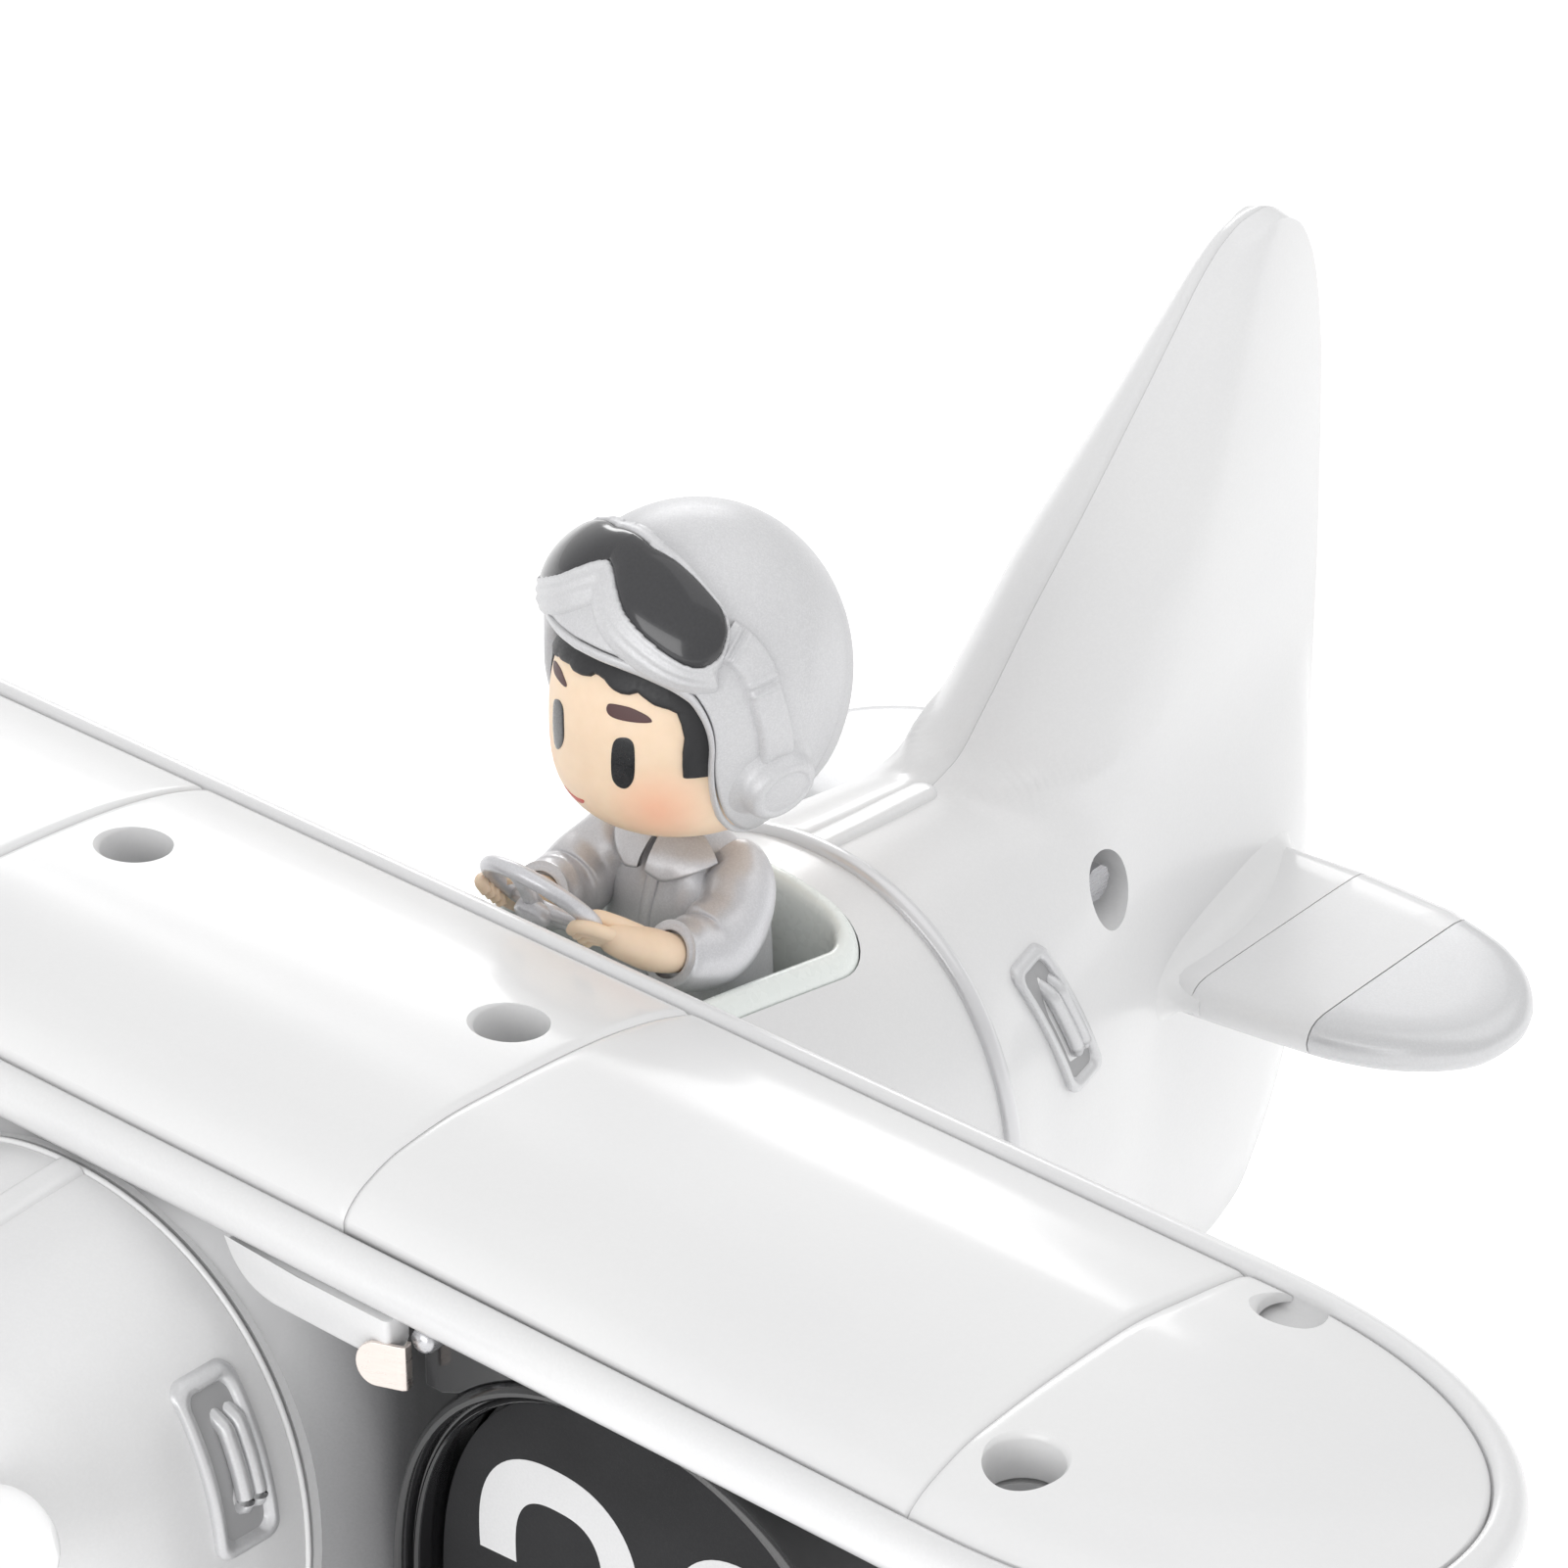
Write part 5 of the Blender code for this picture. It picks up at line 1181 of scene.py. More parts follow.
def helmet_shape(d):
    """Extra height of the helmet surface: rear bulge and the side panel step."""
    ph = abs(math.degrees(math.atan2(d.dot(HL), d.dot(HF))))
    th = math.degrees(math.asin(max(-1, min(1, d.dot(HU)))))
    edge = 96 + 0.62 * max(th, -5)
    s = 1 / (1 + math.exp(-(ph - edge) / 1.5))
    back = max(0.0, 1 - max(0.0, ph - edge) / 45.0)
    fade = max(0, 1 - ((th - 19) / 26) ** 2) if abs(th - 19) < 26 else 0
    return 0.5 * s * fade * back


NA = 240
rings = []
lip = 1.15
for q in range(9):
    a = math.pi * (1 - q / 8)
    ring = []
    for i in range(NA):
        al = -180 + 360 * i / NA
        b0 = rim_beta(al)
        d = ax_dir(al, b0 + math.degrees((1 - math.sin(a)) * lip / 20))
        ring.append(tuple(on(HC, HR, d, -lip + lip * -math.cos(a) + helmet_shape(d))))
    rings.append(ring)
for q in range(1, 61):
    s = (q / 60) ** 1.1
    ring = []
    for i in range(NA):
        al = -180 + 360 * i / NA
        b0 = rim_beta(al) + math.degrees(lip / 20)
        d = ax_dir(al, b0 + (179.6 - b0) * s)
        edge = 0.25 * math.exp(-(179.6 - b0) * s / 7.0)
        ring.append(tuple(on(HC, HR, d, helmet_shape(d) * (1 - math.exp(-(179.6 - b0) * s / 5)))))
    rings.append(ring)
inner = []
for be in (0, 6, 14, 24):
    ring = []
    for i in range(NA):
        al = -180 + 360 * i / NA
        d = ax_dir(al, rim_beta(al) + math.degrees(lip / 20) + be)
        ring.append(tuple(on(HC, HR, d, -2 * lip - 0.02 * be)))
    inner.append(ring)
mesh_obj("helmet_shell", *skin(inner[::-1] + rings), HELMET, "airframe", ["pilot_helmet"], slot="jacket", angle=0)

# face
rings = []
for q in range(64):
    v = -math.pi / 2 + math.pi * (q + 0.5) / 64
    rings.append([tuple(face_on(Vector((math.cos(v) * math.cos(u), math.cos(v) * math.sin(u), math.sin(v))))) for u in [2 * math.pi * k / 96 for k in range(96)]])
SKIN, nt, bs = new_mat("doll_skin")
v = coords(nt)
n1 = N(nt, "ShaderNodeTexNoise", Scale=0.5, Detail=3.0)
nt.links.new(v, n1.inputs["Vector"])
col = ramp(nt, n1.outputs["Fac"], [(0.3, (0.93, 0.715, 0.52)), (0.7, (0.965, 0.75, 0.555))])
g = N(nt, "ShaderNodeTexCoord")
for cpos in (face_pt(39.4, -6.2), face_pt(-40.0, -6.2)):
    mp = N(nt, "ShaderNodeVectorMath", operation="DISTANCE")
    nt.links.new(g.outputs["Object"], mp.inputs[0])
    mp.inputs[1].default_value = tuple(P(*cpos))
    f = maprange(nt, mp.outputs["Value"], 0.0008, 0.0066, 0.55, 0.0)
    mx = N(nt, "ShaderNodeMix", data_type="RGBA")
    nt.links.new(f, mx.inputs[0])
    nt.links.new(col, mx.inputs[6])
    mx.inputs[7].default_value = (0.97, 0.42, 0.26, 1)
    col = mx.outputs[2]
nt.links.new(col, bs.inputs["Base Color"])
nt.links.new(maprange(nt, n1.outputs["Fac"], 0.3, 0.7, 0.42, 0.52), bs.inputs["Roughness"])
bs.inputs["Subsurface Weight"].default_value = 0.12
bs.inputs["Subsurface Radius"].default_value = (0.004, 0.002, 0.001)
bs.inputs["Subsurface Scale"].default_value = 0.5
nt.links.new(bump(nt, n1.outputs["Fac"], 0.15, 0.00001), bs.inputs["Normal"])
mesh_obj("face", *skin(rings), SKIN, "airframe", ["pilot_head"], slot="skin", angle=0)


def decal(name, outline, mat, slot, lift=0.1, fn=face_pt, smooth=True, rounds=8):
    """A printed patch lying on the face."""
    pts = outline
    if smooth:
        k = len(pts)
        pts = []
        for i in range(k):
            p0, p1, p2, p3 = (outline[(i + j) % k] for j in (-1, 0, 1, 2))
            for j in range(rounds):
                u = j / rounds
                pts.append(tuple(0.5 * (2 * b + (c - a) * u + (2 * a - 5 * b + 4 * c - d) * u * u + (3 * b - a - 3 * c + d) * u ** 3) for a, b, c, d in zip(p0, p1, p2, p3)))
    cx = sum(p[0] for p in pts) / len(pts)
    cy = sum(p[1] for p in pts) / len(pts)
    rings = []
    for s, h in ((1.0, -0.05), (1.0, lift * 0.6), (0.96, lift), (0.7, lift), (0.4, lift), (0.12, lift)):
        rings.append([fn(cx + (p[0] - cx) * s, cy + (p[1] - cy) * s, h) for p in pts])
    return mesh_obj(name, *skin(rings), mat, "airframe", slot=slot, angle=60)


BROW = plastic("brow_brown", (0.095, 0.045, 0.045), 0.5, grain=0.05, gdist=0.005)
EYE = plastic("eye_black", (0.012, 0.013, 0.015), 0.25, grain=0.05, gdist=0.004, coat=0.3)
LIP = plastic("lip_red", (0.60, 0.11, 0.085), 0.45, grain=0.05, gdist=0.004)
decal("brow_left", [(19.4, 40.5), (21.9, 42.3), (32.7, 41.7), (41.4, 38.7), (44.3, 36.1), (42.7, 35.3), (34.3, 35.7), (24.4, 36.7), (20.5, 38.1)], BROW, "black", 0.06)
decal("brow_right", [(-42.5, 36.4), (-38.0, 39.6), (-31.0, 41.8), (-23.3, 42.7), (-14.1, 41.2), (-14.2, 39.5), (-23.4, 38.2), (-34.0, 36.6)], BROW, "black", 0.06)
decal("eye_left", [(29.0, 29.0), (32.6, 28.1), (33.9, 24.2), (32.2, 12.1), (29.8, 7.0), (26.6, 4.8), (22.8, 6.1), (21.1, 10.8), (22.3, 22.2), (24.6, 27.5)], EYE, "black", 0.08)
decal("eye_right", [(-21.5, 30.1), (-16.0, 32.0), (-11.2, 29.6), (-8.9, 19.3), (-10.9, 12.8), (-14.9, 8.5), (-18.6, 8.0), (-21.1, 12.1), (-23.0, 23.2), (-23.3, 27.6)], EYE, "black", 0.08)
decal("mouth", [(-14.5, -10.6), (-9.0, -10.8), (-3.0, -9.9), (2.2, -8.6), (0.6, -11.2), (-4.4, -13.2), (-10.0, -13.0)], LIP, "skin", 0.05)

# hair: scalloped fringe and side locks that come out from under the brim
hair_l = [(4.3, 50.0), (7.3, 51.7), (11.0, 51.6), (15.9, 50.7), (20.0, 48.8), (23.3, 47.6), (28.0, 46.6), (32.7, 46.4), (38.1, 47.3), (42.2, 44.8), (46.7, 42.0), (53.9, 39.4), (57.4, 37.3), (58.1, 32.9), (58.0, 26.6), (55.6, 20.5), (54.2, 14.5), (53.4, 9.2)]
hair_r = [(-3.0, 48.6), (-10.8, 47.9), (-16.0, 48.6), (-22.0, 47.2), (-27.9, 45.6), (-33.0, 45.0), (-37.0, 42.4), (-42.0, 40.2), (-46.1, 38.7), (-51.0, 37.4), (-56.0, 34.0), (-58.0, 27.0), (-56.0, 20.0), (-53.6, 9.2)]
low = hair_r[::-1] + hair_l


def hair_top(p):
    return (p[0] * 1.0, 58.0) if abs(p[0]) < 48 and p[1] > 30 else ((66.0 if p[0] > 0 else -66.0), max(p[1], 2.0) + 3)


dense, n0 = [], len(low)
for i in range(n0 - 1):
    for j in range(5):
        u = j / 5
        dense.append((low[i][0] * (1 - u) + low[i + 1][0] * u, low[i][1] * (1 - u) + low[i + 1][1] * u))
dense.append(low[-1])
rows = []
for s, h in ((0.0, -0.1), (0.0, 0.28), (0.03, 0.5), (0.1, 0.62), (0.3, 0.68), (0.6, 0.7), (1.0, 0.7)):
    row = []
    for p in dense:
        if abs(p[0]) > 50 and p[1] < 38.5:
            e = (p[0] + (16 if p[0] > 0 else -16), p[1] - 3)
        else:
            e = (p[0] * 1.02, p[1] + 14)
        row.append(face_pt(p[0] + (e[0] - p[0]) * s, p[1] + (e[1] - p[1]) * s, h))
    rows.append(row)
v_, f_ = skin(rows, closed=False, caps=False)
mesh_obj("hair_fringe", v_, f_, HAIR, "airframe", slot="black", angle=55)


# goggles: chart over the forehead, in millimetres of arc from the middle of the lens
G0 = hdir(0, 58)
GU = (HU - G0 * HU.dot(G0)).normalized()
GL = GU.cross(G0)
GR = 22.0


def chart_dir(x, y):
    """x to the pilot's left round the head, y up over the crown."""
    a = x / GR
    b = y / GR
    base = G0 * math.cos(b) + GU * math.sin(b)
    return (base * math.cos(a) + GL * math.sin(a)).normalized()


def to_chart(d):
    a = math.asin(max(-1, min(1, d.dot(GL))))
    b = math.atan2(d.dot(GU), d.dot(G0))
    return a * GR, b * GR


low_half = [to_chart(hdir(p, t)) for p, t in [(0, 72.4), (6, 71.4), (11.2, 70.1), (21.3, 64.9), (30.8, 57.9), (41.3, 51.4), (53.0, 43.4), (60.7, 39.3), (66.5, 38.8), (73.0, 40.8), (78.8, 45.6)]]
top_half = [to_chart(hdir(p, t)) for p, t in [(0, 83.6), (26.1, 82.7), (52.0, 78.6), (69.1, 73.4), (77.8, 65.0), (80.6, 58.5), (81.9, 53.4), (81.0, 49.3), (78.8, 45.6)]]
low_half[0] = (0.0, low_half[0][1])
top_half[0] = (0.0, top_half[0][1])
LOWC = spline_pts(low_half, 60)
TOPC = spline_pts(top_half, 60)
lower = [(-x, y) for x, y in LOWC[::-1]] + LOWC[1:]
upper = [(-x, y) for x, y in TOPC[::-1]] + TOPC[1:]
LENS_OUT = np.array(lower + upper[::-1][1:-1])


def gh(x, y):
    """Height of the goggle body over the helmet."""
    return 1.75 + 0.35 * math.cos(min(abs(x) / 26, 1) * math.pi / 2)


rows = []
m = len(lower)
for j in range(25):
    s = j / 24
    row = []
    for k in range(m):
        # evenly spaced along both curves
        x = lower[k][0] + (upper[k][0] - lower[k][0]) * s
        y = lower[k][1] + (upper[k][1] - lower[k][1]) * s
        dome = 0.75 * math.sin(math.pi * s) ** 0.6 * (1 - (2 * k / (m - 1) - 1) ** 8)
        row.append(tuple(on(HC, HR, chart_dir(x, y), gh(x, y) - 0.25 + dome)))
    rows.append(row)
v_, f_ = skin(rows, closed=False, caps=False)
mesh_obj("goggle_lens_sheet", v_, f_, LENS, "airframe", slot="black", angle=0)

# frame around the lens, ridged on the lower side
seg_a = LENS_OUT
seg_b = np.roll(LENS_OUT, -1, axis=0)


def lens_dist(x, y):
    p = np.array((x, y))
    ab = seg_b - seg_a
    t = np.clip(((p - seg_a) * ab).sum(1) / (ab * ab).sum(1).clip(1e-9), 0, 1)
    q = seg_a + ab * t[:, None]
    d2 = ((p - q) ** 2).sum(1)
    i = int(d2.argmin())
    d = math.sqrt(d2[i])
    # crossing test
    y0, y1 = seg_a[:, 1], seg_b[:, 1]
    c = (y0 > y) != (y1 > y)
    xs = seg_a[:, 0] + (y - y0) / np.where(c, y1 - y0, 1) * (seg_b[:, 0] - seg_a[:, 0])
    ins = (c & (x < xs)).sum() % 2 == 1
    return -d if ins else d


def frame_h(x, y):
    d = lens_dist(x, y)
    base = gh(x, y)
    if d < 0:
        return base - 0.75 - min(-d, 1.0) * 1.2
    lowside = 1 / (1 + math.exp(((y - np.interp(abs(x), [0, 8, 18, 30], [11.0, 9.0, 1.0, -1.0]))) / 0.8))
    w = 0.3 + 3.9 * lowside
    if d > w:
        return base - 0.1 - 0.42 * max(0, w - 0.6) * lowside - (d - w) * (1.6 + 0.6 * (d - w))
    lipz = 0.22 * math.exp(-((d - 0.35) / 0.3) ** 2)
    base -= 0.38 * (1 - lowside)
    rid = 0.0
    for c in (1.75, 3.0):
        rid += 0.34 * math.exp(-((d - c) / 0.42) ** 2)
    ends = 1.0
    slope = -0.42 * max(0, d - 0.6) * lowside
    return base - 0.1 + lipz + rid * lowside * ends + slope


gx = np.arange(-33.0, 33.01, 0.33)
gy = np.arange(-12.5, 16.5, 0.33)
rows = []
for y in gy:
    rows.append([frame_h(x, y) for x in gx])
HH = rows
rows = [[tuple(on(HC, HR, chart_dir(x, y), max(h, -0.9))) for x, h in zip(gx, HH[j])] for j, y in enumerate(gy)]
v_, f_ = skin(rows, closed=False, caps=False)
nx = len(gx)
f_ = [f for f in f_ if max(HH[i // nx][i % nx] for i in f) > -0.45]
mesh_obj("goggle_frame_relief", v_, f_, HELMET, "airframe", slot="jacket", angle=0)

# strap with rib pairs, ear pods
for side, tag in ((1, "left"), (-1, "right")):
    a = [(78, 45.0), (83.4, 38.2), (85.6, 29.5), (84.6, 18.3), (83.6, 5.0), (81.5, -8.0)]
    path = spline_pts(a, 90)
    rows = []
    for i, (p, t) in enumerate(path):
        s = i / 89
        row = []
        d0 = hdir(p, t)
        d1 = hdir(*path[min(i + 1, 89)]) - hdir(*path[max(i - 1, 0)])
        w = d0.cross(d1).normalized()
        if w.dot(HF) > 0:
            w = -w
        rib = sum(0.62 * math.exp(-((s - c) / 0.014) ** 2) for c in (0.10, 0.16, 0.47, 0.535))
        for k in range(21):
            u = -1 + 2 * k / 20
            hw = 2.9 - 0.3 * math.sin(math.pi * s)
            dd = (d0 + w * (u * hw * 1.25 / 21)).normalized()
            prof = max(0, 1 - abs(u * 1.25) ** 6) ** 0.5 if abs(u * 1.25) < 1 else 0
            inner = 1 if abs(u * 1.25) < 0.8 else 0
            h = -0.5 + 1.45 * prof + rib * inner
            dd = Vector((dd.x, dd.y, dd.z))
            if side < 0:
                dd = dd - HL * (2 * dd.dot(HL))
            row.append(tuple(on(HC, HR, dd, h + helmet_shape(dd))))
        rows.append(row)
    v_, f_ = skin(rows, closed=False, caps=False)
    mesh_obj("goggle_strap_" + tag, v_, f_, HELMET, "airframe", slot="jacket", angle=0)
    d0 = hdir(side * 79.4, -16.5)
    c0 = on(HC, HR, d0, -0.6)
    k = Vector((d0.x / HR[0] ** 2, d0.y / HR[1] ** 2, d0.z / HR[2] ** 2)).normalized()
    uu = HU.cross(k).normalized()
    ww = k.cross(uu)
    prof = spline_pts([(6.4, -0.9), (5.3, 0.15), (4.7, 0.9), (4.45, 1.9), (4.1, 2.65), (3.4, 3.0), (2.9, 2.85), (2.5, 2.95), (1.4, 3.1), (0.02, 3.15)], 44)
    rings = [[tuple(c0 + (uu * math.cos(q) * 1.05 + ww * math.sin(q) * 0.95) * r + k * h) for q in [2 * math.pi * j / 72 for j in range(72)]] for r, h in prof]
    v_, f_ = skin(rings, caps=False)
    mesh_obj("ear_pod_" + tag, v_, f_, HELMET, "airframe", slot="jacket", angle=0)

# torso
tab = [(7.5, 7.5, -43.5, 41.5), (10.6, 9.2, -40.6, 41.5), (11.3, 9.6, -39.2, 41.5), (11.35, 9.6, -37.6, 41.5), (10.9, 9.2, -37.0, 41.5), (11.2, 9.3, -34, 41.5), (10.8, 9.0, -26, 41.5), (10.4, 8.2, -19, 41.5), (9.2, 7.2, -15.6, 41.5), (6.8, 5.8, -12.6, 41.3), (4.6, 4.4, -10.0, 41.0), (4.2, 4.2, -7.0, 40.8)]
rings = []
for a, b, z, cy in spline_pts(tab, 70):
    ring = []
    for k_ in range(96):
        t = 2 * math.pi * k_ / 96
        fold = 1 + 0.012 * math.sin(3 * t + z * 0.35) + 0.010 * math.sin(7 * t - z * 0.6)
        ring.append((a * fold * math.cos(t), cy + b * fold * math.sin(t), z))
    rings.append(ring)
mesh_obj("jacket_body", *skin(rings), JACKET, "airframe", ["pilot_body"], slot="jacket", angle=0)


def arm_pt(i, side):
    pass


for side, tag in ((1, "left"), (-1, "right")):
    tab = [(5.6, 42.0, -12.6, 3.0), (7.6, 41.6, -13.8, 4.0), (9.6, 39.6, -15.4, 4.5), (10.9, 36.2, -17.6, 4.8), (11.1, 32.6, -19.0, 4.9), (10.8, 29.2, -18.6, 4.5), (10.4, 26.8, -17.6, 4.1), (10.3, 26.0, -17.2, 3.4)]
    rings = []
    sp_ = spline_pts(tab, 60)
    for i in range(60):
        p = Vector(sp_[i][:3])
        a = Vector(sp_[max(i - 1, 0)][:3])
        b = Vector(sp_[min(i + 1, 59)][:3])
        d = (b - a).normalized()
        u = d.cross(Vector((0, 0, 1))).normalized()
        w = u.cross(d)
        s = i / 59
        ring = []
        for k_ in range(56):
            t = 2 * math.pi * k_ / 56
            cuff = 0.35 * math.exp(-((s - 0.93) / 0.035) ** 2) - 0.15 * math.exp(-((s - 0.84) / 0.03) ** 2)
            fold = 0.28 * math.sin(9 * s * math.pi + 1.3 * math.cos(t) * side) * (1 - s) * s * 4 * max(0, math.sin(t + 0.6))
            r = sp_[i][3] + cuff + fold
            q = p + u * (math.cos(t) * r) + w * (math.sin(t) * r)
            ring.append((side * q.x, q.y, q.z))
        rings.append(ring)
    inner = [[tuple(Vector((side * sp_[i][0], sp_[i][1], sp_[i][2])) + (Vector(v0) - Vector((side * sp_[i][0], sp_[i][1], sp_[i][2]))) * 0.86) for v0 in rings[i]] for i in (59, 54, 50)]
    mesh_obj("sleeve_" + tag, *skin(rings + inner), JACKET, "airframe", slot="jacket", angle=60)
    # hand: palm, thumb and four curled fingers round the wheel rim
    palm = [(10.4, 28.6, -18.2, 2.5), (10.2, 26.0, -17.0, 2.9), (9.9, 23.0, -15.2, 3.1), (9.4, 20.0, -13.2, 2.7), (8.8, 17.6, -11.6, 2.1), (8.4, 16.6, -10.9, 1.1)]
    sp2 = spline_pts(palm, 30)
    v1, f1 = limb_vf([(side * p[0], p[1], p[2]) for p in sp2], [p[3] for p in sp2], 28, flat=0.82)
    mesh_obj("hand_" + tag, v1, f1, SKIN, "airframe", slot="skin", angle=0)
    for j in range(4):
        o = -1.9 + 1.25 * j
        fp_ = [(9.2, 18.6 + o * 0.7, -12.4 - o * 0.75, 0.95), (8.6, 16.2 + o * 0.75, -10.6 - o * 0.8, 0.9), (7.5, 14.6 + o * 0.75, -9.9 - o * 0.8, 0.85), (6.6, 14.4 + o * 0.7, -10.9 - o * 0.8, 0.6)]
        s3 = spline_pts(fp_, 18)
        v1, f1 = limb_vf([(side * p[0], p[1], p[2]) for p in s3], [p[3] for p in s3], 16)
        mesh_obj("finger_%s_%d" % (tag, j + 1), v1, f1, SKIN, "airframe", slot="skin", angle=0)
    th_ = spline_pts([(9.2, 22.0, -13.0, 1.25), (8.0, 19.4, -10.8, 1.1), (7.0, 17.4, -9.4, 1.0), (6.4, 16.2, -8.9, 0.65)], 18)
    v1, f1 = limb_vf([(side * p[0], p[1], p[2]) for p in th_], [p[3] for p in th_], 18)
    mesh_obj("thumb_" + tag, v1, f1, SKIN, "airframe", slot="skin", angle=0)
    # collar flap
    rows = []
    for j in range(12):
        s = j / 11
        row = []
        for k_ in range(15):
            u = k_ / 14
            ang_ = math.radians(-90 + side * (4 + 62 * u))
            zz = -9.0 - (4.6 - 1.8 * abs(u - 0.25) * 2) * s
            rr_ = 5.2 + 3.2 * s + 0.5 * math.sin(math.pi * s)
            row.append((rr_ * 1.05 * math.cos(ang_), 41.0 + rr_ * 0.98 * math.sin(ang_), zz))
        rows.append(row)
    back = [[(x * 0.9, 41 + (y - 41) * 0.9, z) for x, y, z in r] for r in rows]
    v_, f_ = skin(rows + back[::-1], closed=False, caps=False)
    mesh_obj("collar_" + tag, v_, f_, JACKET, "airframe", slot="jacket", angle=0)
strip_pts = [(0.3, 41.5 - b * 1.0 - 0.1, z, 0.9) for a, b, z, cy in spline_pts(tab[:0] + [(11.3, 9.6, -39.2, 41.5), (11.2, 9.3, -34, 41.5), (10.8, 9.0, -26, 41.5), (10.4, 8.2, -19, 41.5), (9.2, 7.2, -15.6, 41.5), (7.4, 6.2, -13.2, 41.5)], 30)]
v_, f_ = limb_vf([p[:3] for p in strip_pts], [p[3] for p in strip_pts], 12, flat=0.45)
mesh_obj("jacket_placket", v_, f_, JACKET, "airframe", slot="jacket", angle=60)
mesh_obj("neck", *turned([(0.01, -12), (4.1, -12), (4.0, -8), (4.3, -4), (0.01, -3)], "Z", (0, 40.6, 0), 40), SKIN, "airframe", slot="skin", angle=60)

# steering wheel
SWC = Vector((0, 15.5, -8.5))
SWU = Vector((1, 0, 0))
SWV = Vector((0, 0.62, -0.78))
SWN = Vector((0, 0.78, 0.62))
rings = []
for i in range(96):
    t = 2 * math.pi * i / 96
    d = SWU * math.cos(t) + SWV * math.sin(t)
    c = SWC + d * 7.35
    rings.append([tuple(c + (d * math.cos(q) + SWN * math.sin(q)) * 1.05) for q in [2 * math.pi * k / 20 for k in range(20)]])
mesh_obj("steering_rim", *skin(rings, loop=True), JACKET, "airframe", ["steering_wheel"], slot="jacket", angle=0)
for j, a in enumerate((90, 210, 330)):
    t = math.radians(a)
    d = SWU * math.cos(t) - SWV * math.sin(t)
    pts = [tuple(SWC + d * r - SWN * (1.4 * (1 - r / 7.4))) for r in (0.5, 2.5, 5.0, 7.2)]
    v_, f_ = limb_vf(pts, [1.15, 0.95, 0.85, 0.95], 16)
    mesh_obj("steering_spoke_%d" % (j + 1), v_, f_, JACKET, "airframe", slot="jacket", angle=0)
prof = [(0.01, 0.6), (1.2, 0.5), (2.0, 0.1), (2.3, -0.6), (2.2, -1.6), (1.2, -2.2)]
rings = [[tuple(SWC - SWN * 1.2 + (SWU * math.cos(q) + SWV * math.sin(q)) * r + SWN * h) for q in [2 * math.pi * k / 40 for k in range(40)]] for r, h in spline_pts(prof, 20)]
v_, f_ = skin(rings)
mesh_obj("steering_hub_cap", v_, f_, JACKET, "airframe", slot="jacket", angle=0)
col_pts = [tuple(SWC - SWN * 2.6), (0, 12.9, -16), (0, 12.4, -26), (0, 12.4, -40)]
v_, f_ = limb_vf(spline_pts(col_pts, 20), [1.2] * 20, 20)
mesh_obj("steering_column_rod", v_, f_, JACKET, "airframe", slot="jacket", angle=60)

# ------------------------------------------------------------------ nodes that keep their CAD mesh
KEEP = {"battery_hatch": PEARL2, "battery_tray": BLACKM, "movement_case": BLACKM, "main_axle": STEEL, "propeller_shaft": STEEL, "tail_screw": STEEL, "tail_wheel_fork": SILVER}
for nm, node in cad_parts.items():
    m = KEEP.get(nm)
    if m is None:
        if nm.endswith("_spool") or nm == "motor_pinion":
            m = ACETAL
        elif nm.endswith("_spindle"):
            m = STEEL
    if m is None:
        continue
    for s in node.material_slots:
        s.material = m
    if not node.material_slots:
        node.data.materials.append(m)

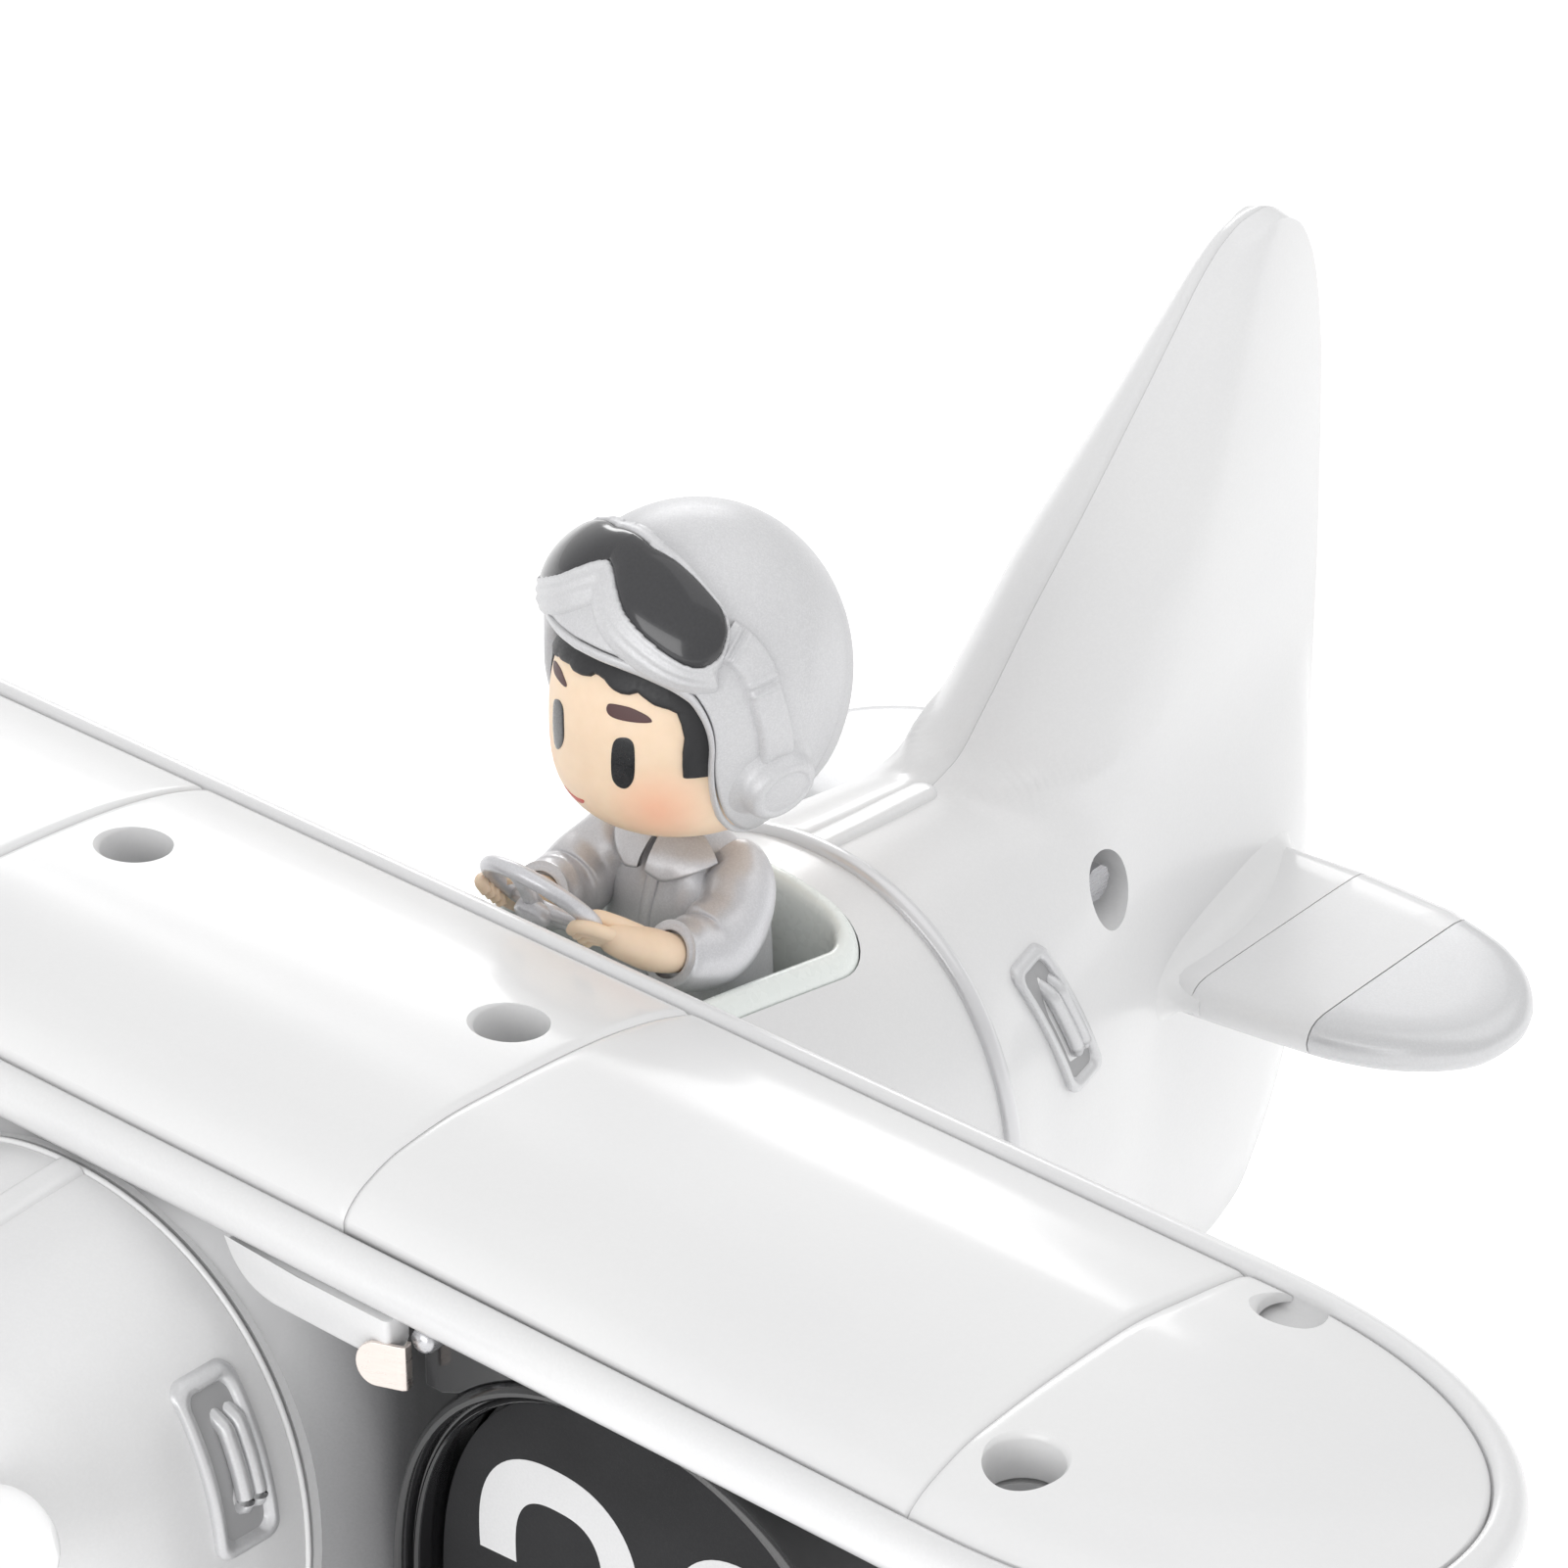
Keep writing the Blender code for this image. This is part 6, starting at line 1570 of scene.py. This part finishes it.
# ------------------------------------------------------------------ stage
mw, nt, bs = new_mat("studio_floor")
v = coords(nt, 1.0)
n1 = N(nt, "ShaderNodeTexNoise", Scale=3.0, Detail=2.0)
nt.links.new(v, n1.inputs["Vector"])
nt.links.new(ramp(nt, n1.outputs["Fac"], [(0.3, (0.93, 0.93, 0.93)), (0.7, (0.95, 0.95, 0.95))]), bs.inputs["Base Color"])
nt.links.new(maprange(nt, n1.outputs["Fac"], 0.3, 0.7, 0.8, 0.9), bs.inputs["Roughness"])
bs.inputs["Specular IOR Level"].default_value = 0.1
nt.links.new(ramp(nt, n1.outputs["Fac"], [(0.3, (0.97, 0.97, 0.97)), (0.7, (1, 1, 1))]), bs.inputs["Emission Color"])
bs.inputs["Emission Strength"].default_value = 0.3
me = bpy.data.meshes.new("floor")
L = 6.0
me.from_pydata([(-L, -L, 0), (L, -L, 0), (L, L, 0), (-L, L, 0)], [], [(0, 1, 2, 3)])
floor = bpy.data.objects.new("floor", me)
SC.collection.objects.link(floor)
me.materials.append(mw)

world = bpy.data.worlds.new("studio")
SC.world = world
world.use_nodes = True
wn = world.node_tree
bg = wn.nodes["Background"]
tc = wn.nodes.new("ShaderNodeTexCoord")
sep = wn.nodes.new("ShaderNodeSeparateXYZ")
wn.links.new(tc.outputs["Generated"], sep.inputs[0])
r = wn.nodes.new("ShaderNodeValToRGB")
r.color_ramp.elements[0].position, r.color_ramp.elements[0].color = 0.0, (0.92, 0.92, 0.92, 1)
r.color_ramp.elements[1].position, r.color_ramp.elements[1].color = 1.0, (1, 1, 1, 1)
wn.links.new(sep.outputs["Z"], r.inputs["Fac"])
wn.links.new(r.outputs["Color"], bg.inputs["Color"])
bg.inputs["Strength"].default_value = 0.86


def area(name, loc, target, size, power, sy=None):
    l = bpy.data.lights.new(name, "AREA")
    l.energy = power
    l.size = size
    if sy:
        l.shape = "RECTANGLE"
        l.size_y = sy
    o = bpy.data.objects.new(name, l)
    SC.collection.objects.link(o)
    o.location = Vector(loc)
    o.rotation_mode = "QUATERNION"
    o.rotation_quaternion = (Vector(target) - Vector(loc)).to_track_quat("-Z", "Y")
    return o


area("key", (0.35, 0.9, 1.5), (0, 0.05, 0.1), 1.6, 3.5)
area("front", (0.25, -1.5, 0.6), (0, 0, 0.1), 1.4, 8.5, 0.8)
area("rim", (-0.9, 1.0, 0.6), (0, 0.1, 0.1), 0.7, 3.0, 0.3)
